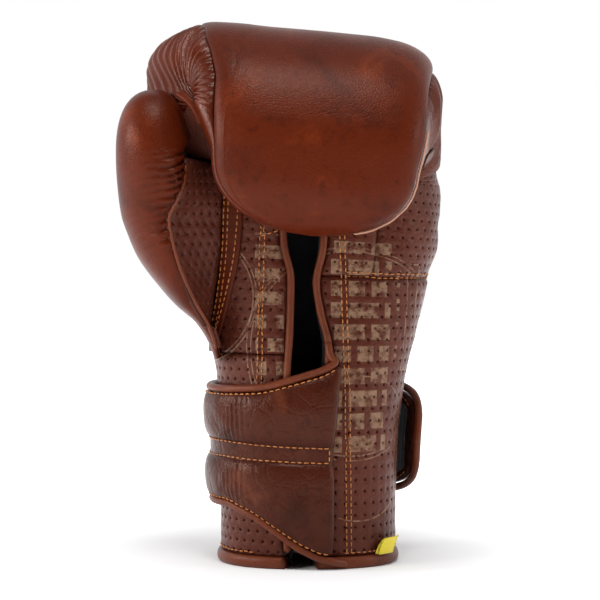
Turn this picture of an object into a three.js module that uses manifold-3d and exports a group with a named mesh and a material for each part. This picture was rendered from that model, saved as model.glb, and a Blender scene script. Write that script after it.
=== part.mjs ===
// Left-hand boxing glove with a hook-and-loop wrist strap, standing on its cuff.
// Millimetres, +Z up, palm towards -Y, thumb towards -X.
// The hand is one bent tube: up from the cuff, over the knuckles and down the front as the finger roll.
// Every leather panel, foam pad and lining is a curved slab between two depths of that tube.
import * as THREE from 'three';
import { mergeVertices } from 'three/addons/utils/BufferGeometryUtils.js';
import Module from 'manifold-3d';

const wasm = await Module();
wasm.setup();

// ---------------------------------------------------------------- driving dimensions
const FOLD_Y = -35; // the crease between the finger roll and the palm
const FOLD_Z = 222;
const BEND = 180; // the tube turns half a circle over the knuckles, one station for each degree
const ROLL_START = FOLD_Z + BEND;
const ROLL_DROP = 35; // from the crease down to the tip of the roll
const ROLL_END = ROLL_START + ROLL_DROP;
const TIP_DEPTH = 22; // where the roll's front and back meet at its tip
const TOP_SLOPE = 0.09; // the knuckles fall from the index finger to the little finger
const SLOPE_ZERO_X = -40;
const SPLIT_DEG = 60; // where the finger section starts, in degrees round the bend
const SPLIT = FOLD_Z + SPLIT_DEG;

const LEATHER = 1.8;
const LINING = 1.0;
const GAP = 0.4; // between touching solids
const LINING_GAP = 1.2; // between the foam and the loose lining
const SEAM = 0.75; // degrees between panels, each side of a seam
const PIPING_R = 2.0;
const PIPING_SIDES = 6;

const HEM_TOP = 6;
const CUFF_TOP = 118; // where the cuff ends and the thumb starts
const SIDE_SEAM = 163; // the cross seam on the little finger side
const THUMB_HOLE_TOP = 190;
const SLIT_TOP = 202;

const STRAP_LIFT = 1.3; // the strap's inner face stands this far off the cuff
const STRAP_THICK = 6.5;
const STRAP_LEATHER = 1.8;
const STRAP_HINGE = 218; // degrees round the cuff, at the thumb-side corner
const TAB_HINGE = 418; // at the back, on the little finger side (58 degrees plus a turn)
const TAB_TIP = 362;
const TURN = 360;

const THUMB_BASE = 115;
const THUMB_TIP = 263.5;
const THUMB_DOME = 34; // the height over which the thumb's tip rounds off

// ---------------------------------------------------------------- curves and solids
const rad = THREE.MathUtils.degToRad;
const clamp01 = (t) => THREE.MathUtils.clamp(t, 0, 1);
const lerp = THREE.MathUtils.lerp;

// A smooth curve through [station, value] knots that never overshoots them.
function profile(...knots) {
  const n = knots.length;
  const slope = knots.slice(1).map((k, i) => (k[1] - knots[i][1]) / (k[0] - knots[i][0]));
  const tangent = knots.map((_, i) => {
    if (i === 0 || i === n - 1) return slope[Math.min(i, n - 2)];
    const [a, b] = [slope[i - 1], slope[i]];
    return a * b <= 0 ? 0 : (2 * a * b) / (a + b);
  });
  return (s) => {
    const x = THREE.MathUtils.clamp(s, knots[0][0], knots[n - 1][0]);
    let i = 0;
    while (i < n - 2 && x > knots[i + 1][0]) i += 1;
    const h = knots[i + 1][0] - knots[i][0];
    const t = (x - knots[i][0]) / h;
    const [t2, t3] = [t * t, t * t * t];
    return (
      (2 * t3 - 3 * t2 + 1) * knots[i][1] +
      (t3 - 2 * t2 + t) * h * tangent[i] +
      (3 * t2 - 2 * t3) * knots[i + 1][1] +
      (t3 - t2) * h * tangent[i + 1]
    );
  };
}

const power = (value, exponent) => Math.sign(value) * Math.abs(value) ** exponent;
const dome = (t, p) => Math.max(0, 1 - clamp01(t) ** p) ** (1 / p);

// A closed geometry from points and triangles: shared points merged, empty triangles dropped, faces out.
function closed(points, triangles) {
  const raw = new THREE.BufferGeometry().setFromPoints(points);
  raw.setIndex(triangles.flat());
  const merged = mergeVertices(raw, 1e-3);
  const index = [...merged.index.array];
  const kept = [];
  for (let i = 0; i < index.length; i += 3) {
    const [a, b, c] = index.slice(i, i + 3);
    if (a !== b && b !== c && a !== c) kept.push([a, b, c]);
  }
  const at = merged.attributes.position;
  const [p, q, r] = [new THREE.Vector3(), new THREE.Vector3(), new THREE.Vector3()];
  const volume = kept.reduce((sum, [a, b, c]) => {
    p.fromBufferAttribute(at, a);
    q.fromBufferAttribute(at, b);
    r.fromBufferAttribute(at, c);
    return sum + p.dot(q.cross(r));
  }, 0);
  merged.setIndex((volume < 0 ? kept.map(([a, b, c]) => [a, c, b]) : kept).flat());
  return merged;
}

// A grid of points (rows of equal length) as triangles, counted from a first index.
function gridTriangles(rows, columns, first, flip) {
  const out = [];
  for (let j = 0; j < rows - 1; j += 1)
    for (let i = 0; i < columns - 1; i += 1) {
      const a = first + j * columns + i;
      const [b, c, d] = [a + 1, a + columns, a + columns + 1];
      out.push(flip ? [a, c, b] : [a, b, c], flip ? [b, c, d] : [b, d, c]);
    }
  return out;
}

// A curved slab: at(u, v, side) gives its outer (side 0) and inner (side 1) faces, u and v from 0 to 1.
function slab(at, columns, rows) {
  const faces = [0, 1].map((side) =>
    rows.flatMap((v) => columns.map((u) => at(u, v, side))),
  );
  const [nu, nv] = [columns.length, rows.length];
  const count = nu * nv;
  const triangles = [...gridTriangles(nv, nu, 0, false), ...gridTriangles(nv, nu, count, true)];
  // Facing walls of two neighbours are split along the same diagonal, so that they stay apart.
  const wall = (a, b) => triangles.push([a, b, a + count], [b, b + count, a + count]);
  const facingWall = (a, b) => triangles.push([a, b, b + count], [a, b + count, a + count]);
  for (let i = 0; i < nu - 1; i += 1) {
    wall(i + 1, i);
    facingWall((nv - 1) * nu + i, (nv - 1) * nu + i + 1);
  }
  for (let j = 0; j < nv - 1; j += 1) {
    wall(j * nu, (j + 1) * nu);
    facingWall((j + 1) * nu + nu - 1, j * nu + nu - 1);
  }
  return closed(faces.flat(), triangles);
}

// A cup: rings of points from the rim, over the outside to the tip and back up the inside to the rim.
function cup(rings) {
  const columns = rings[0].length;
  const loop = [...rings, rings[0]].map((ring) => [...ring, ring[0]]);
  return closed(loop.flat(), gridTriangles(loop.length, columns + 1, 0, false));
}

const steps = (n, from = 0, to = 1) => Array.from({ length: n + 1 }, (_, i) => lerp(from, to, i / n));

// ---------------------------------------------------------------- the hand tube
// right and left are x; outer and inner are distances from the fold line along the section's normal.
const handOuter = {
  right: profile([0, 50], [60, 51], [100, 55], [130, 62], [163, 69], [195, 73], [222, 74],
    [262, 73], [312, 71], [342, 67], [372, 64], [402, 59], [449, 54]),
  left: profile([0, -49], [60, -49.5], [100, -51], [130, -57], [163, -67], [195, -78], [222, -84],
    [252, -89], [285, -91], [305, -86], [322, -73], [338, -60], [352, -54], [380, -52], [449, -50]),
  outer: profile([0, 75], [60, 76], [110, 76], [150, 81], [180, 88], [205, 92], [222, 94],
    [252, 92], [282, 84], [312, 78], [342, 67], [372, 57], [402, 52], [449, 52]),
  inner: profile([0, -6], [60, -6], [110, -5], [150, -2], [200, 0.5], [222, 1.5], [402, 2], [449, 2]),
  square: profile([0, 2.3], [163, 2.4], [222, 2.8], [270, 4.4], [312, 4.8], [372, 4.5], [449, 4.4]),
};
const handCavity = {
  right: profile([0, 37], [100, 39], [163, 49], [222, 51], [312, 48], [402, 42], [449, 42]),
  left: profile([0, -36], [100, -38], [163, -50], [222, -60], [300, -57], [360, -38], [402, -36],
    [449, -36]),
  outer: profile([0, 63], [100, 62], [163, 56], [222, 46], [312, 42], [372, 38], [449, 36]),
  inner: profile([0, 5], [100, 6], [163, 9], [222, 12], [262, 18], [342, 18], [402, 14], [449, 14]),
  square: profile([0, 2.3], [163, 2.6], [449, 3]),
};
const POCKET_END = ROLL_START + 6;

const slopeShare = profile([110, 0], [160, 0.35], [222, 1], [449, 1]);

function tubePoint(tube, s, deg) {
  const bend = rad(THREE.MathUtils.clamp(s - FOLD_Z, 0, BEND));
  const down = Math.max(0, s - ROLL_START);
  const t = tube === handOuter ? down / ROLL_DROP : 0;
  const [right, left] = [tube.right(s), tube.left(s)];
  const outer = TIP_DEPTH + (tube.outer(s) - TIP_DEPTH) * dome(t, 2.8);
  const inner = TIP_DEPTH + (tube.inner(s) - TIP_DEPTH) * dome(t, 4);
  const k = 2 / tube.square(s);
  const x = (right + left) / 2 + ((right - left) / 2) * dome(t, 2.2) * power(Math.cos(rad(deg)), k);
  const n = (outer + inner) / 2 + ((outer - inner) / 2) * power(Math.sin(rad(deg)), k);
  const z = Math.min(s, FOLD_Z) - down + n * Math.sin(bend);
  const fall = TOP_SLOPE * (x - SLOPE_ZERO_X) * slopeShare(s);
  return new THREE.Vector3(x, FOLD_Y + n * Math.cos(bend), z - fall);
}

// A point at a depth under the tube's outer surface; a negative depth is outside it.
function handDepth(s, deg, depth) {
  const p = tubePoint(handOuter, s, deg);
  const q = tubePoint(handCavity, Math.min(s, POCKET_END), deg);
  return p.addScaledVector(q.sub(p).normalize(), depth);
}

// A point at a height above the hand cavity's surface.
function cavityHeight(s, deg, height) {
  const p = tubePoint(handOuter, s, deg);
  const q = tubePoint(handCavity, Math.min(s, POCKET_END), deg);
  return q.clone().addScaledVector(p.sub(q).normalize(), height);
}

// The angle on the palm side where the tube's surface has a given x.
function palmAngle(s, x) {
  const [right, left] = [handOuter.right(s), handOuter.left(s)];
  const share = THREE.MathUtils.clamp((x - (right + left) / 2) / ((right - left) / 2), -1, 1);
  return TURN - THREE.MathUtils.radToDeg(Math.acos(power(share, handOuter.square(s) / 2)));
}

// The palm slit's bindings, as x at each height; the panels stop just short of them.
const slitLeftX = profile([0, -11], [60, -12], [100, -11.5], [135, -9.5], [161, -9], [180, -13],
  [SLIT_TOP, -14]);
const slitRightX = profile([0, 4], [60, 5], [100, 10.5], [122, 12], [142, 7.5], [159, 5], [180, 9],
  [SLIT_TOP, 10]);
const BINDING_ROOM = PIPING_R + 0.8;
const slitLeft = (s) => palmAngle(s, slitLeftX(s) - BINDING_ROOM);
const slitRight = (s) => palmAngle(s, slitRightX(s) + BINDING_ROOM) - TURN;

// A zone of the tube: station range, angle range (numbers or functions of the station) and its grid.
// Every zone has its rows at the same stations, so neighbours meet along the same chords.
const STATIONS = [32, 62, 90, 104, 118, 133, 148, 163, 176, 190, 202, 212, 222, 234, 246, 258, 270];
function zone(from, to, start, end, columns, rows) {
  const angle = (edge, s) => (typeof edge === 'function' ? edge(s) : edge);
  const shared = STATIONS.filter((s) => s > from + 3 && s < to - 3).map((s) => (s - from) / (to - from));
  return {
    columns: steps(columns),
    rows: rows ?? [0, ...shared, 1],
    s: (v) => lerp(from, to, v),
    deg(u, v) {
      const s = lerp(from, to, v);
      return lerp(angle(start, s) + SEAM, angle(end, s) - SEAM, u);
    },
  };
}
const layer = (z, at) => slab((u, v, side) => at(z.s(v), z.deg(u, v), side), z.columns, z.rows);
const leatherOn = (z) => layer(z, (s, deg, side) => handDepth(s, deg, side * LEATHER));
const foamOn = (z) =>
  layer(z, (s, deg, side) =>
    side ? cavityHeight(s, deg, LINING + LINING_GAP) : handDepth(s, deg, LEATHER + GAP));

const BACK_START = 22;
// The long seam on the thumb side, in degrees: up the back, across the knuckles and down beside the roll.
const thumbSeam = profile([118, 158], [202, 158], [234, 130], [262, 112], [312, 122], [345, 142],
  [372, 161], [ROLL_START, 166]);
const HOLE_START = 184;
const HOLE_END = 224;
const HEEL_END = -62; // where the side gusset meets the palm, beside the slit
const SPLIT_GAP = 0.8; // degrees each side of the split

const zones = {
  back: zone(HEM_TOP + GAP, SPLIT - SPLIT_GAP, BACK_START, thumbSeam, 10),
  heel: zone(HEM_TOP + GAP, SIDE_SEAM, slitRight, BACK_START, 8),
  upperSide: zone(SIDE_SEAM + GAP, SPLIT - SPLIT_GAP, HEEL_END, BACK_START, 6),
  palmRight: zone(SIDE_SEAM + GAP, SLIT_TOP, slitRight, HEEL_END, 2),
  cuffThumb: zone(HEM_TOP + GAP, CUFF_TOP, thumbSeam, slitLeft, 8),
  palmThumb: zone(CUFF_TOP + GAP, SLIT_TOP, HOLE_END, slitLeft, 3),
  thumbBack: zone(CUFF_TOP + GAP, THUMB_HOLE_TOP, thumbSeam, HOLE_START, 2),
  indexSide: zone(THUMB_HOLE_TOP + GAP, SPLIT - SPLIT_GAP, thumbSeam, HOLE_END, 7),
  palmTop: zone(SLIT_TOP + GAP, SPLIT - SPLIT_GAP, HOLE_END, TURN + HEEL_END, 6),
};

// ---------------------------------------------------------------- fingers: the roll
const ROLL_FRONT = 14; // degrees from the sides where the front panel starts
const rollRows = [0, 0.12, 0.26, 0.4, 0.54, 0.68, 0.76, 0.84, 0.91, 0.96, 0.99, 1];
const rollZone = (start, end, columns) => zone(SPLIT + SPLIT_GAP, ROLL_END, start, end, columns, rollRows);
const rollZones = {
  front: rollZone(ROLL_FRONT, thumbSeam, 8),
  index: rollZone(thumbSeam, 180 + ROLL_FRONT, 4),
  palm: rollZone(180 + ROLL_FRONT, TURN - ROLL_FRONT, 6),
  little: rollZone(-ROLL_FRONT, ROLL_FRONT, 2),
};

const ring = (count, at) => steps(count).slice(0, count).map((t) => at(t * TURN));
const centre = (points) =>
  points.reduce((sum, p) => sum.add(p), new THREE.Vector3()).multiplyScalar(1 / points.length);
const pole = (points, shift) => {
  const middle = centre(points).add(shift);
  return points.map(() => middle.clone());
};

// The roll's rings have their points where the four leather zones have theirs.
const rollAngles = (s) => [
  ...steps(8, ROLL_FRONT, thumbSeam(s)),
  ...steps(4, thumbSeam(s), 180 + ROLL_FRONT).slice(1, 4),
  ...steps(6, 180 + ROLL_FRONT, TURN - ROLL_FRONT),
  TURN,
];
const rollRing = (s, at) => rollAngles(s).map((deg) => at(s, deg));

function fingerFoam() {
  const start = SPLIT + SPLIT_GAP;
  const outside = rollRows.map((v) =>
    rollRing(lerp(start, ROLL_END, v), (s, deg) => handDepth(s, deg, LEATHER + GAP)));
  const inside = steps(5, POCKET_END, start).map((station) =>
    rollRing(station, (s, deg) => cavityHeight(s, deg, LINING + GAP)));
  const floor = pole(inside[0], new THREE.Vector3(0, 0, -LINING - GAP));
  return cup([...outside, floor, ...inside]);
}

function fingerLining() {
  const start = SPLIT + SPLIT_GAP;
  const sheet = (height) => (station) => rollRing(station, (s, deg) => cavityHeight(s, deg, height));
  const inside = steps(5, start, POCKET_END).map(sheet(0));
  const outside = steps(5, POCKET_END, start).map(sheet(LINING));
  const tip = pole(outside[0], new THREE.Vector3(0, 0, -LINING));
  const floor = pole(inside[5], new THREE.Vector3());
  return cup([...inside, floor, tip, ...outside]);
}

// ---------------------------------------------------------------- piping
function tube(points, radius, sides = PIPING_SIDES, stepsAlong = 2 * points.length) {
  const circle = new THREE.Shape(
    steps(sides, 0, TURN).slice(0, sides).map((deg) =>
      new THREE.Vector2(radius * Math.cos(rad(deg)), radius * Math.sin(rad(deg)))),
  );
  const extrudePath = new THREE.CatmullRomCurve3(points);
  return new THREE.ExtrudeGeometry(circle, { steps: stepsAlong, extrudePath, curveSegments: 1 });
}

const WELT_R = 1.2;
const WELT_LIFT = 2.4; // the middle of a welt stands this far off the leather beside its seam

// ---------------------------------------------------------------- cuff strap
const EDGE_SHIFT = PIPING_R + 0.9; // from the strap's edge to the middle of its piping
// The strap starts on the heel side of the slit, crosses it and runs round the thumb side and the back.
const STRAP_ROOT = 282; // at the root seam, on the palm
const strapTop = profile([STRAP_HINGE, 96], [245, 97.5], [262, 102], [275, 108], [STRAP_ROOT, 114]);
const strapBottom = profile([STRAP_HINGE, 38], [238, 32.5], [255, 23], [272, 14], [STRAP_ROOT, 9.5]);
const WRAP_TOP = 96;
const WRAP_BOTTOM = 38;
const tabLift = profile([TAB_TIP, 7], [375, 5.5], [395, 2.5], [TAB_HINGE, 0]);

const strapSlab = (start, end, columns, top, bottom, lift, from, to) =>
  slab(
    (u, v, side) => {
      const deg = lerp(start, end, u);
      return handDepth(lerp(bottom(deg), top(deg), v), deg, -lift(deg) - (side ? from : to));
    },
    steps(columns),
    steps(2),
  );
const flat = (value) => () => value;
const noLift = flat(0);

function strapEdge(start, end, count, edge, lift, shift) {
  return tube(
    steps(count, start, end).map((deg) =>
      handDepth(edge(deg) + shift, deg, -lift(deg) - STRAP_LIFT - STRAP_THICK / 2)),
    PIPING_R,
  );
}

const STRAP_FOAM_IN = STRAP_LIFT;
const STRAP_FOAM_OUT = STRAP_LIFT + STRAP_THICK - STRAP_LEATHER - GAP;
const STRAP_SKIN_IN = STRAP_LIFT + STRAP_THICK - STRAP_LEATHER;
const STRAP_SKIN_OUT = STRAP_LIFT + STRAP_THICK;
const CORNER_GAP = 0.6; // degrees each side of a strap hinge
// Angles run down from the back to the tab's tip, so the wrap covers 218 degrees up to 418.
const wrapStart = STRAP_HINGE - CORNER_GAP;
const wrapEnd = TAB_HINGE - TURN + CORNER_GAP;

const strapRootPart = (from, to) =>
  strapSlab(STRAP_HINGE + CORNER_GAP, STRAP_ROOT, 9, strapTop, strapBottom, noLift, from, to);
const strapWrapPart = (from, to) =>
  strapSlab(wrapEnd, wrapStart, 11, flat(WRAP_TOP), flat(WRAP_BOTTOM), noLift, from, to);

// The tab's rounded end: its height narrows along a half ellipse towards the tip.
const TAB_MIDDLE = (WRAP_TOP + WRAP_BOTTOM) / 2;
const TAB_HALF = (WRAP_TOP - WRAP_BOTTOM) / 2;
const tabAngle = (u) => lerp(TAB_HINGE - CORNER_GAP, TAB_TIP, u);
const tabHalf = (u, inset) => (TAB_HALF - inset) * Math.max(0.25, dome(u, 2.6));
const TAB_PIPING_REACH = 1.07; // the piping goes this far round the tip
const tabPipingHalf = (u) => (TAB_HALF + EDGE_SHIFT) * dome(u / TAB_PIPING_REACH, 2.6);
const tabPart = (from, to, inset, last) =>
  slab(
    (u, v, side) => {
      const deg = tabAngle(u * last);
      const s = TAB_MIDDLE + (2 * v - 1) * tabHalf(u * last, inset);
      return handDepth(s, deg, -tabLift(deg) - (side ? from : to));
    },
    [0, 0.2, 0.4, 0.6, 0.75, 0.88, 1],
    steps(2),
  );

// ---------------------------------------------------------------- thumb
const thumbOuter = {
  left: profile([112, -51], [124, -55], [135, -62], [145, -73], [155, -82], [164, -89], [174, -95],
    [184, -99], [195, -102.5], [209, -104.2], [226, -105], [266, -105]),
  right: profile([112, -46], [129, -46], [160, -44], [189, -43], [205, -47], [220, -57], [232, -62.5],
    [245, -64], [266, -64]),
  front: profile([112, -30], [129, -40], [160, -51], [189, -57], [223, -63], [266, -63]),
  back: profile([112, -8], [129, -1], [160, 2], [189, 0], [223, -7], [266, -8]),
};
const THUMB_FOAM = 9;
const THUMB_SQUARE = 2.25;
const POCKET_LOW = 138;
const POCKET_HIGH = 234;

function thumbPoint(z, deg, depth) {
  const t = (z - (THUMB_TIP - THUMB_DOME)) / THUMB_DOME;
  const cap = t > 0 ? dome(t, 2.3) : 1;
  const [left, right] = [thumbOuter.left(z), thumbOuter.right(z)];
  const [front, back] = [thumbOuter.front(z), thumbOuter.back(z)];
  const k = 2 / THUMB_SQUARE;
  const half = (a, b) => Math.max(0.02, ((b - a) / 2) * cap - depth);
  const drop = z > THUMB_TIP - depth ? THUMB_TIP - depth : z;
  return new THREE.Vector3(
    (left + right) / 2 + half(left, right) * power(Math.cos(rad(deg)), k),
    (front + back) / 2 + half(front, back) * power(Math.sin(rad(deg)), k),
    drop,
  );
}

const THUMB_SHOULDER = 262;
const thumbRows = [114, 124, 134, 145, 160, 178, 198, 212, 226, 238, 249, 257, THUMB_SHOULDER, THUMB_TIP];
// The seams between the thumb's outer leather and its inner gusset, in degrees round the thumb.
const thumbBackSeam = flat(88);
const thumbFrontSeam = profile([112, 268], [190, 266], [205, 282], [218, 306], [232, 328], [266, 340]);
const thumbEnd = (z) => thumbBackSeam(z) + TURN;
const thumbAngles = (z) => [
  ...steps(9, thumbBackSeam(z), thumbFrontSeam(z)).slice(0, 9),
  ...steps(7, thumbFrontSeam(z), thumbEnd(z)).slice(0, 7),
];
function thumbLeather(start, end, columns) {
  return slab(
    (u, v, side) => {
      const z = thumbRows[Math.round(v)];
      return thumbPoint(z, lerp(start(z) + SEAM, end(z) - SEAM, u), side * LEATHER);
    },
    steps(columns),
    thumbRows.map((_, i) => i),
  );
}
// The thumb's solid shape at a depth under its leather, between two heights.
function thumbBody(depth, low, high) {
  const heights = [low, ...thumbRows.filter((z) => z > low + 3 && z < high - 1), high];
  const rings = heights.map((z) => thumbAngles(z).map((deg) => thumbPoint(z, deg, depth)));
  const still = new THREE.Vector3();
  return toSolid(cup([pole(rings[0], still), ...rings, pole(rings.at(-1), still)]));
}

// ---------------------------------------------------------------- booleans
function toSolid(geometry) {
  const bare = new THREE.BufferGeometry().setAttribute('position', geometry.getAttribute('position'));
  if (geometry.index) bare.setIndex(geometry.index);
  const merged = mergeVertices(bare, 1e-3);
  return new wasm.Manifold(
    new wasm.Mesh({
      numProp: 3,
      vertProperties: merged.attributes.position.array,
      triVerts: new Uint32Array(merged.index.array),
    }),
  );
}
function toGeometry(solid) {
  const { vertProperties, triVerts } = solid.getMesh();
  return new THREE.BufferGeometry()
    .setAttribute('position', new THREE.BufferAttribute(new Float32Array(vertProperties), 3))
    .setIndex([...triVerts]);
}
const largest = (solid) => solid.decompose().sort((a, b) => b.volume() - a.volume())[0];

// The hand's outer envelope, a little proud, which the thumb is trimmed against.
const THUMB_CLEARANCE = 1.5;
const SWEEP_CLEARANCE = 2.1;
function envelopeThrough(stations, clearance) {
  const rings = stations.map((s) => ring(40, (deg) => handDepth(s, deg, -clearance)));
  const still = new THREE.Vector3();
  return toSolid(cup([pole(rings[0], still), ...rings, pole(rings.at(-1), still)]));
}
const rollStations = rollRows.map((v) => lerp(SPLIT, ROLL_END, v));
const rollEnvelope = envelopeThrough(rollStations, SWEEP_CLEARANCE);
const handStations = [...STATIONS.filter((s) => s >= 90), ...rollStations];
const handEnvelope = envelopeThrough(handStations, THUMB_CLEARANCE);

// The roll opens about a line along the outer skin at the split; the thumb stays clear of its sweep.
const fingerHinge = new THREE.Vector3(0, 7.5, 292);
const fingerAxis = new THREE.Vector3(-1, 0, TOP_SLOPE).normalize();
const FINGER_OPEN = 25; // degrees
const SWEEP_STEP = 1.25;
function rollOpened(deg) {
  const move = new THREE.Matrix4().makeTranslation(fingerHinge);
  const back = new THREE.Matrix4().makeTranslation(fingerHinge.clone().negate());
  const turn = new THREE.Matrix4().makeRotationAxis(fingerAxis, rad(deg));
  return rollEnvelope.transform([...move.multiply(turn).multiply(back).elements]);
}
const sweep = steps(FINGER_OPEN / SWEEP_STEP, 0, FINGER_OPEN).map(rollOpened);

// The smooth band over the root of the thumb lies on the palm; the thumb clears it too.
const bandLeft = profile([122, -53], [150, -50], [175, -47], [200, -46]);
const bandRight = profile([122, -50], [150, -42], [175, -37], [200, -35]);
const BAND = 1.3;
const bandSlab = (from, to, margin) =>
  slab(
    (u, v, side) => {
      const s = lerp(122 - margin, 198 + margin, v);
      const x = lerp(bandLeft(s) - margin, bandRight(s) + margin, u);
      return handDepth(s, palmAngle(s, x), side ? from : to);
    },
    steps(2),
    steps(6),
  );
const bandRoom = toSolid(bandSlab(3, -GAP - BAND - THUMB_CLEARANCE, 1));
const cut = (solid, cutters) =>
  toGeometry(largest(cutters.reduce((rest, cutter) => rest.subtract(cutter), solid)));
const trimmed = (solid) => cut(solid, [handEnvelope, bandRoom, ...sweep]);

// ---------------------------------------------------------------- materials
const material = (color, roughness, metalness = 0) =>
  new THREE.MeshStandardMaterial({ color, roughness, metalness });
const materials = {
  leather: material(0x6b2c18, 0.42),
  perforated: material(0x6d3b2c, 0.5),
  strap: material(0x5f2717, 0.38),
  piping: material(0x7c3a22, 0.4),
  foam: material(0x2d2d30, 0.95),
  lining: material(0x0d0d10, 0.85),
  hook: material(0x101012, 0.9),
  label: material(0xe8d21c, 0.5),
};

// ---------------------------------------------------------------- assembly
const glove = new THREE.Group();
function add(name, geometry, finish) {
  const mesh = new THREE.Mesh(geometry, finish);
  mesh.name = name;
  glove.add(mesh);
}

// Hand body: leather panels with their foam.
add('back_leather', leatherOn(zones.back), materials.leather);
add('back_foam', foamOn(zones.back), materials.foam);
add('heel_leather', leatherOn(zones.heel), materials.perforated);
add('heel_foam', foamOn(zones.heel), materials.foam);
add('little_side_leather', leatherOn(zones.upperSide), materials.perforated);
add('little_side_foam', foamOn(zones.upperSide), materials.foam);
add('palm_heel_leather', leatherOn(zones.palmRight), materials.perforated);
add('palm_heel_foam', foamOn(zones.palmRight), materials.foam);
add('cuff_thumb_leather', leatherOn(zones.cuffThumb), materials.perforated);
add('cuff_thumb_foam', foamOn(zones.cuffThumb), materials.foam);
add('palm_thumb_leather', leatherOn(zones.palmThumb), materials.perforated);
add('palm_thumb_foam', foamOn(zones.palmThumb), materials.foam);
add('thumb_back_leather', leatherOn(zones.thumbBack), materials.leather);
add('thumb_back_foam', foamOn(zones.thumbBack), materials.foam);
add('index_side_leather', leatherOn(zones.indexSide), materials.leather);
add('index_side_foam', foamOn(zones.indexSide), materials.foam);
add('palm_top_leather', leatherOn(zones.palmTop), materials.perforated);
add('grip_bar', foamOn(zones.palmTop), materials.foam);

// The hand lining: one sheet from the slit round to the slit, with a hole where the thumb opens.
const liningSlit = (s) => (s < SLIT_TOP ? slitLeft(s) : palmAngle(s, slitLeftX(SLIT_TOP)));
const liningStart = (s) => (s < SLIT_TOP ? slitRight(s) : liningSlit(s) - TURN);
const liningZone = zone(HEM_TOP + GAP, SPLIT - SPLIT_GAP, liningStart, liningSlit, 30);
const liningSheet = layer(liningZone, (s, deg, side) => cavityHeight(s, deg, side ? 0 : LINING));
const thumbHole = slab(
  (u, v, side) => {
    const s = lerp(CUFF_TOP + 4, THUMB_HOLE_TOP - 4, v);
    return cavityHeight(s, lerp(HOLE_START + 1, HOLE_END - 2, u), side ? -6 : 6);
  },
  steps(3),
  steps(5),
);
add('hand_lining', cut(toSolid(liningSheet), [toSolid(thumbHole)]), materials.lining);

// The hem binding folds over the cuff's rim; its flat foot is what the glove stands on.
const HEM_PROUD = 1.6;
const hemZone = zone(0, HEM_TOP, slitRight, slitLeft, 30);
add(
  'hem_binding',
  layer(hemZone, (s, deg, side) => (side ? cavityHeight(s, deg, 0) : handDepth(s, deg, -HEM_PROUD))),
  materials.piping,
);

// The slit's rolled bindings, beside the edges of the palm panels.
const BINDING_DEPTH = 2.4;
function slitBinding(edgeX, from, to, count) {
  return tube(
    steps(count, from, to).map((s) => handDepth(s, palmAngle(s, edgeX(s)), BINDING_DEPTH)),
    PIPING_R,
  );
}
add('slit_binding_thumb_side', slitBinding(slitLeftX, 9, SLIT_TOP - 3, 14), materials.piping);
add('slit_binding_heel_side', slitBinding(slitRightX, 9, SLIT_TOP - 3, 14), materials.piping);

add('thumb_root_band', bandSlab(-GAP, -GAP - BAND, 0), materials.leather);

// Strap root, sewn to the heel side of the palm.
add('strap_root_leather', strapRootPart(STRAP_SKIN_IN, STRAP_SKIN_OUT), materials.strap);
add('strap_root_foam', strapRootPart(STRAP_FOAM_IN, STRAP_FOAM_OUT), materials.foam);
const rootEdge = (edge, shift) => strapEdge(STRAP_HINGE + 1.5, STRAP_ROOT, 8, edge, noLift, shift);
add('strap_root_piping_top', rootEdge(strapTop, EDGE_SHIFT), materials.piping);
add('strap_root_piping_bottom', rootEdge(strapBottom, -EDGE_SHIFT), materials.piping);

// The loop patch on the back of the cuff, which the tab's hook patch grips.
const PATCH = 0.5;
const PATCH_LIFT = 0.35;
add(
  'loop_patch',
  slab(
    (u, v, side) => handDepth(lerp(44, 90, v), lerp(5, 56, u), side ? -PATCH_LIFT : -PATCH_LIFT - PATCH),
    steps(6),
    steps(1),
  ),
  materials.hook,
);

// The thumb lock: a short strap from the side of the thumb's tip to the seam beside the roll.
const LOCK_THICK = 2.4;
const lockLine = new THREE.LineCurve3(
  new THREE.Vector3(-66, -52, 253),
  new THREE.Vector3(-58, -56, 238),
);
const lockStrap = slab(
  (u, v, side) => lockLine.getPoint(v).add(new THREE.Vector3(side * LOCK_THICK, 10 * (u - 0.5), 0)),
  steps(1),
  steps(2),
);
add('thumb_lock', cut(toSolid(lockStrap), [...sweep, thumbBody(-GAP, 200, THUMB_TIP)]), materials.leather);

// The loop of ribbon sewn into the hem.
const LABEL_X = 40;
add(
  'label',
  slab(
    (u, v, side) => {
      const s = lerp(HEM_TOP + 1.5, 17, v);
      return handDepth(s, palmAngle(s, LABEL_X + 9 * (u - 0.5) + 4 * v), side ? -1.2 : -2.4 - v);
    },
    steps(1),
    steps(1),
  ),
  materials.label,
);

// Fingers body.
add('roll_front_leather', leatherOn(rollZones.front), materials.leather);
add('roll_palm_leather', leatherOn(rollZones.palm), materials.leather);
add('roll_index_gusset', leatherOn(rollZones.index), materials.leather);
add('roll_little_gusset', leatherOn(rollZones.little), materials.leather);
const weltRows = steps(12, 0.03, 0.97).map((v) => lerp(SPLIT, ROLL_END, v));
add('roll_welt', tube(weltRows.map((s) => handDepth(s, ROLL_FRONT, -WELT_LIFT)), WELT_R), materials.piping);
add('finger_foam', fingerFoam(), materials.foam);
add('finger_lining', fingerLining(), materials.lining);

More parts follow.
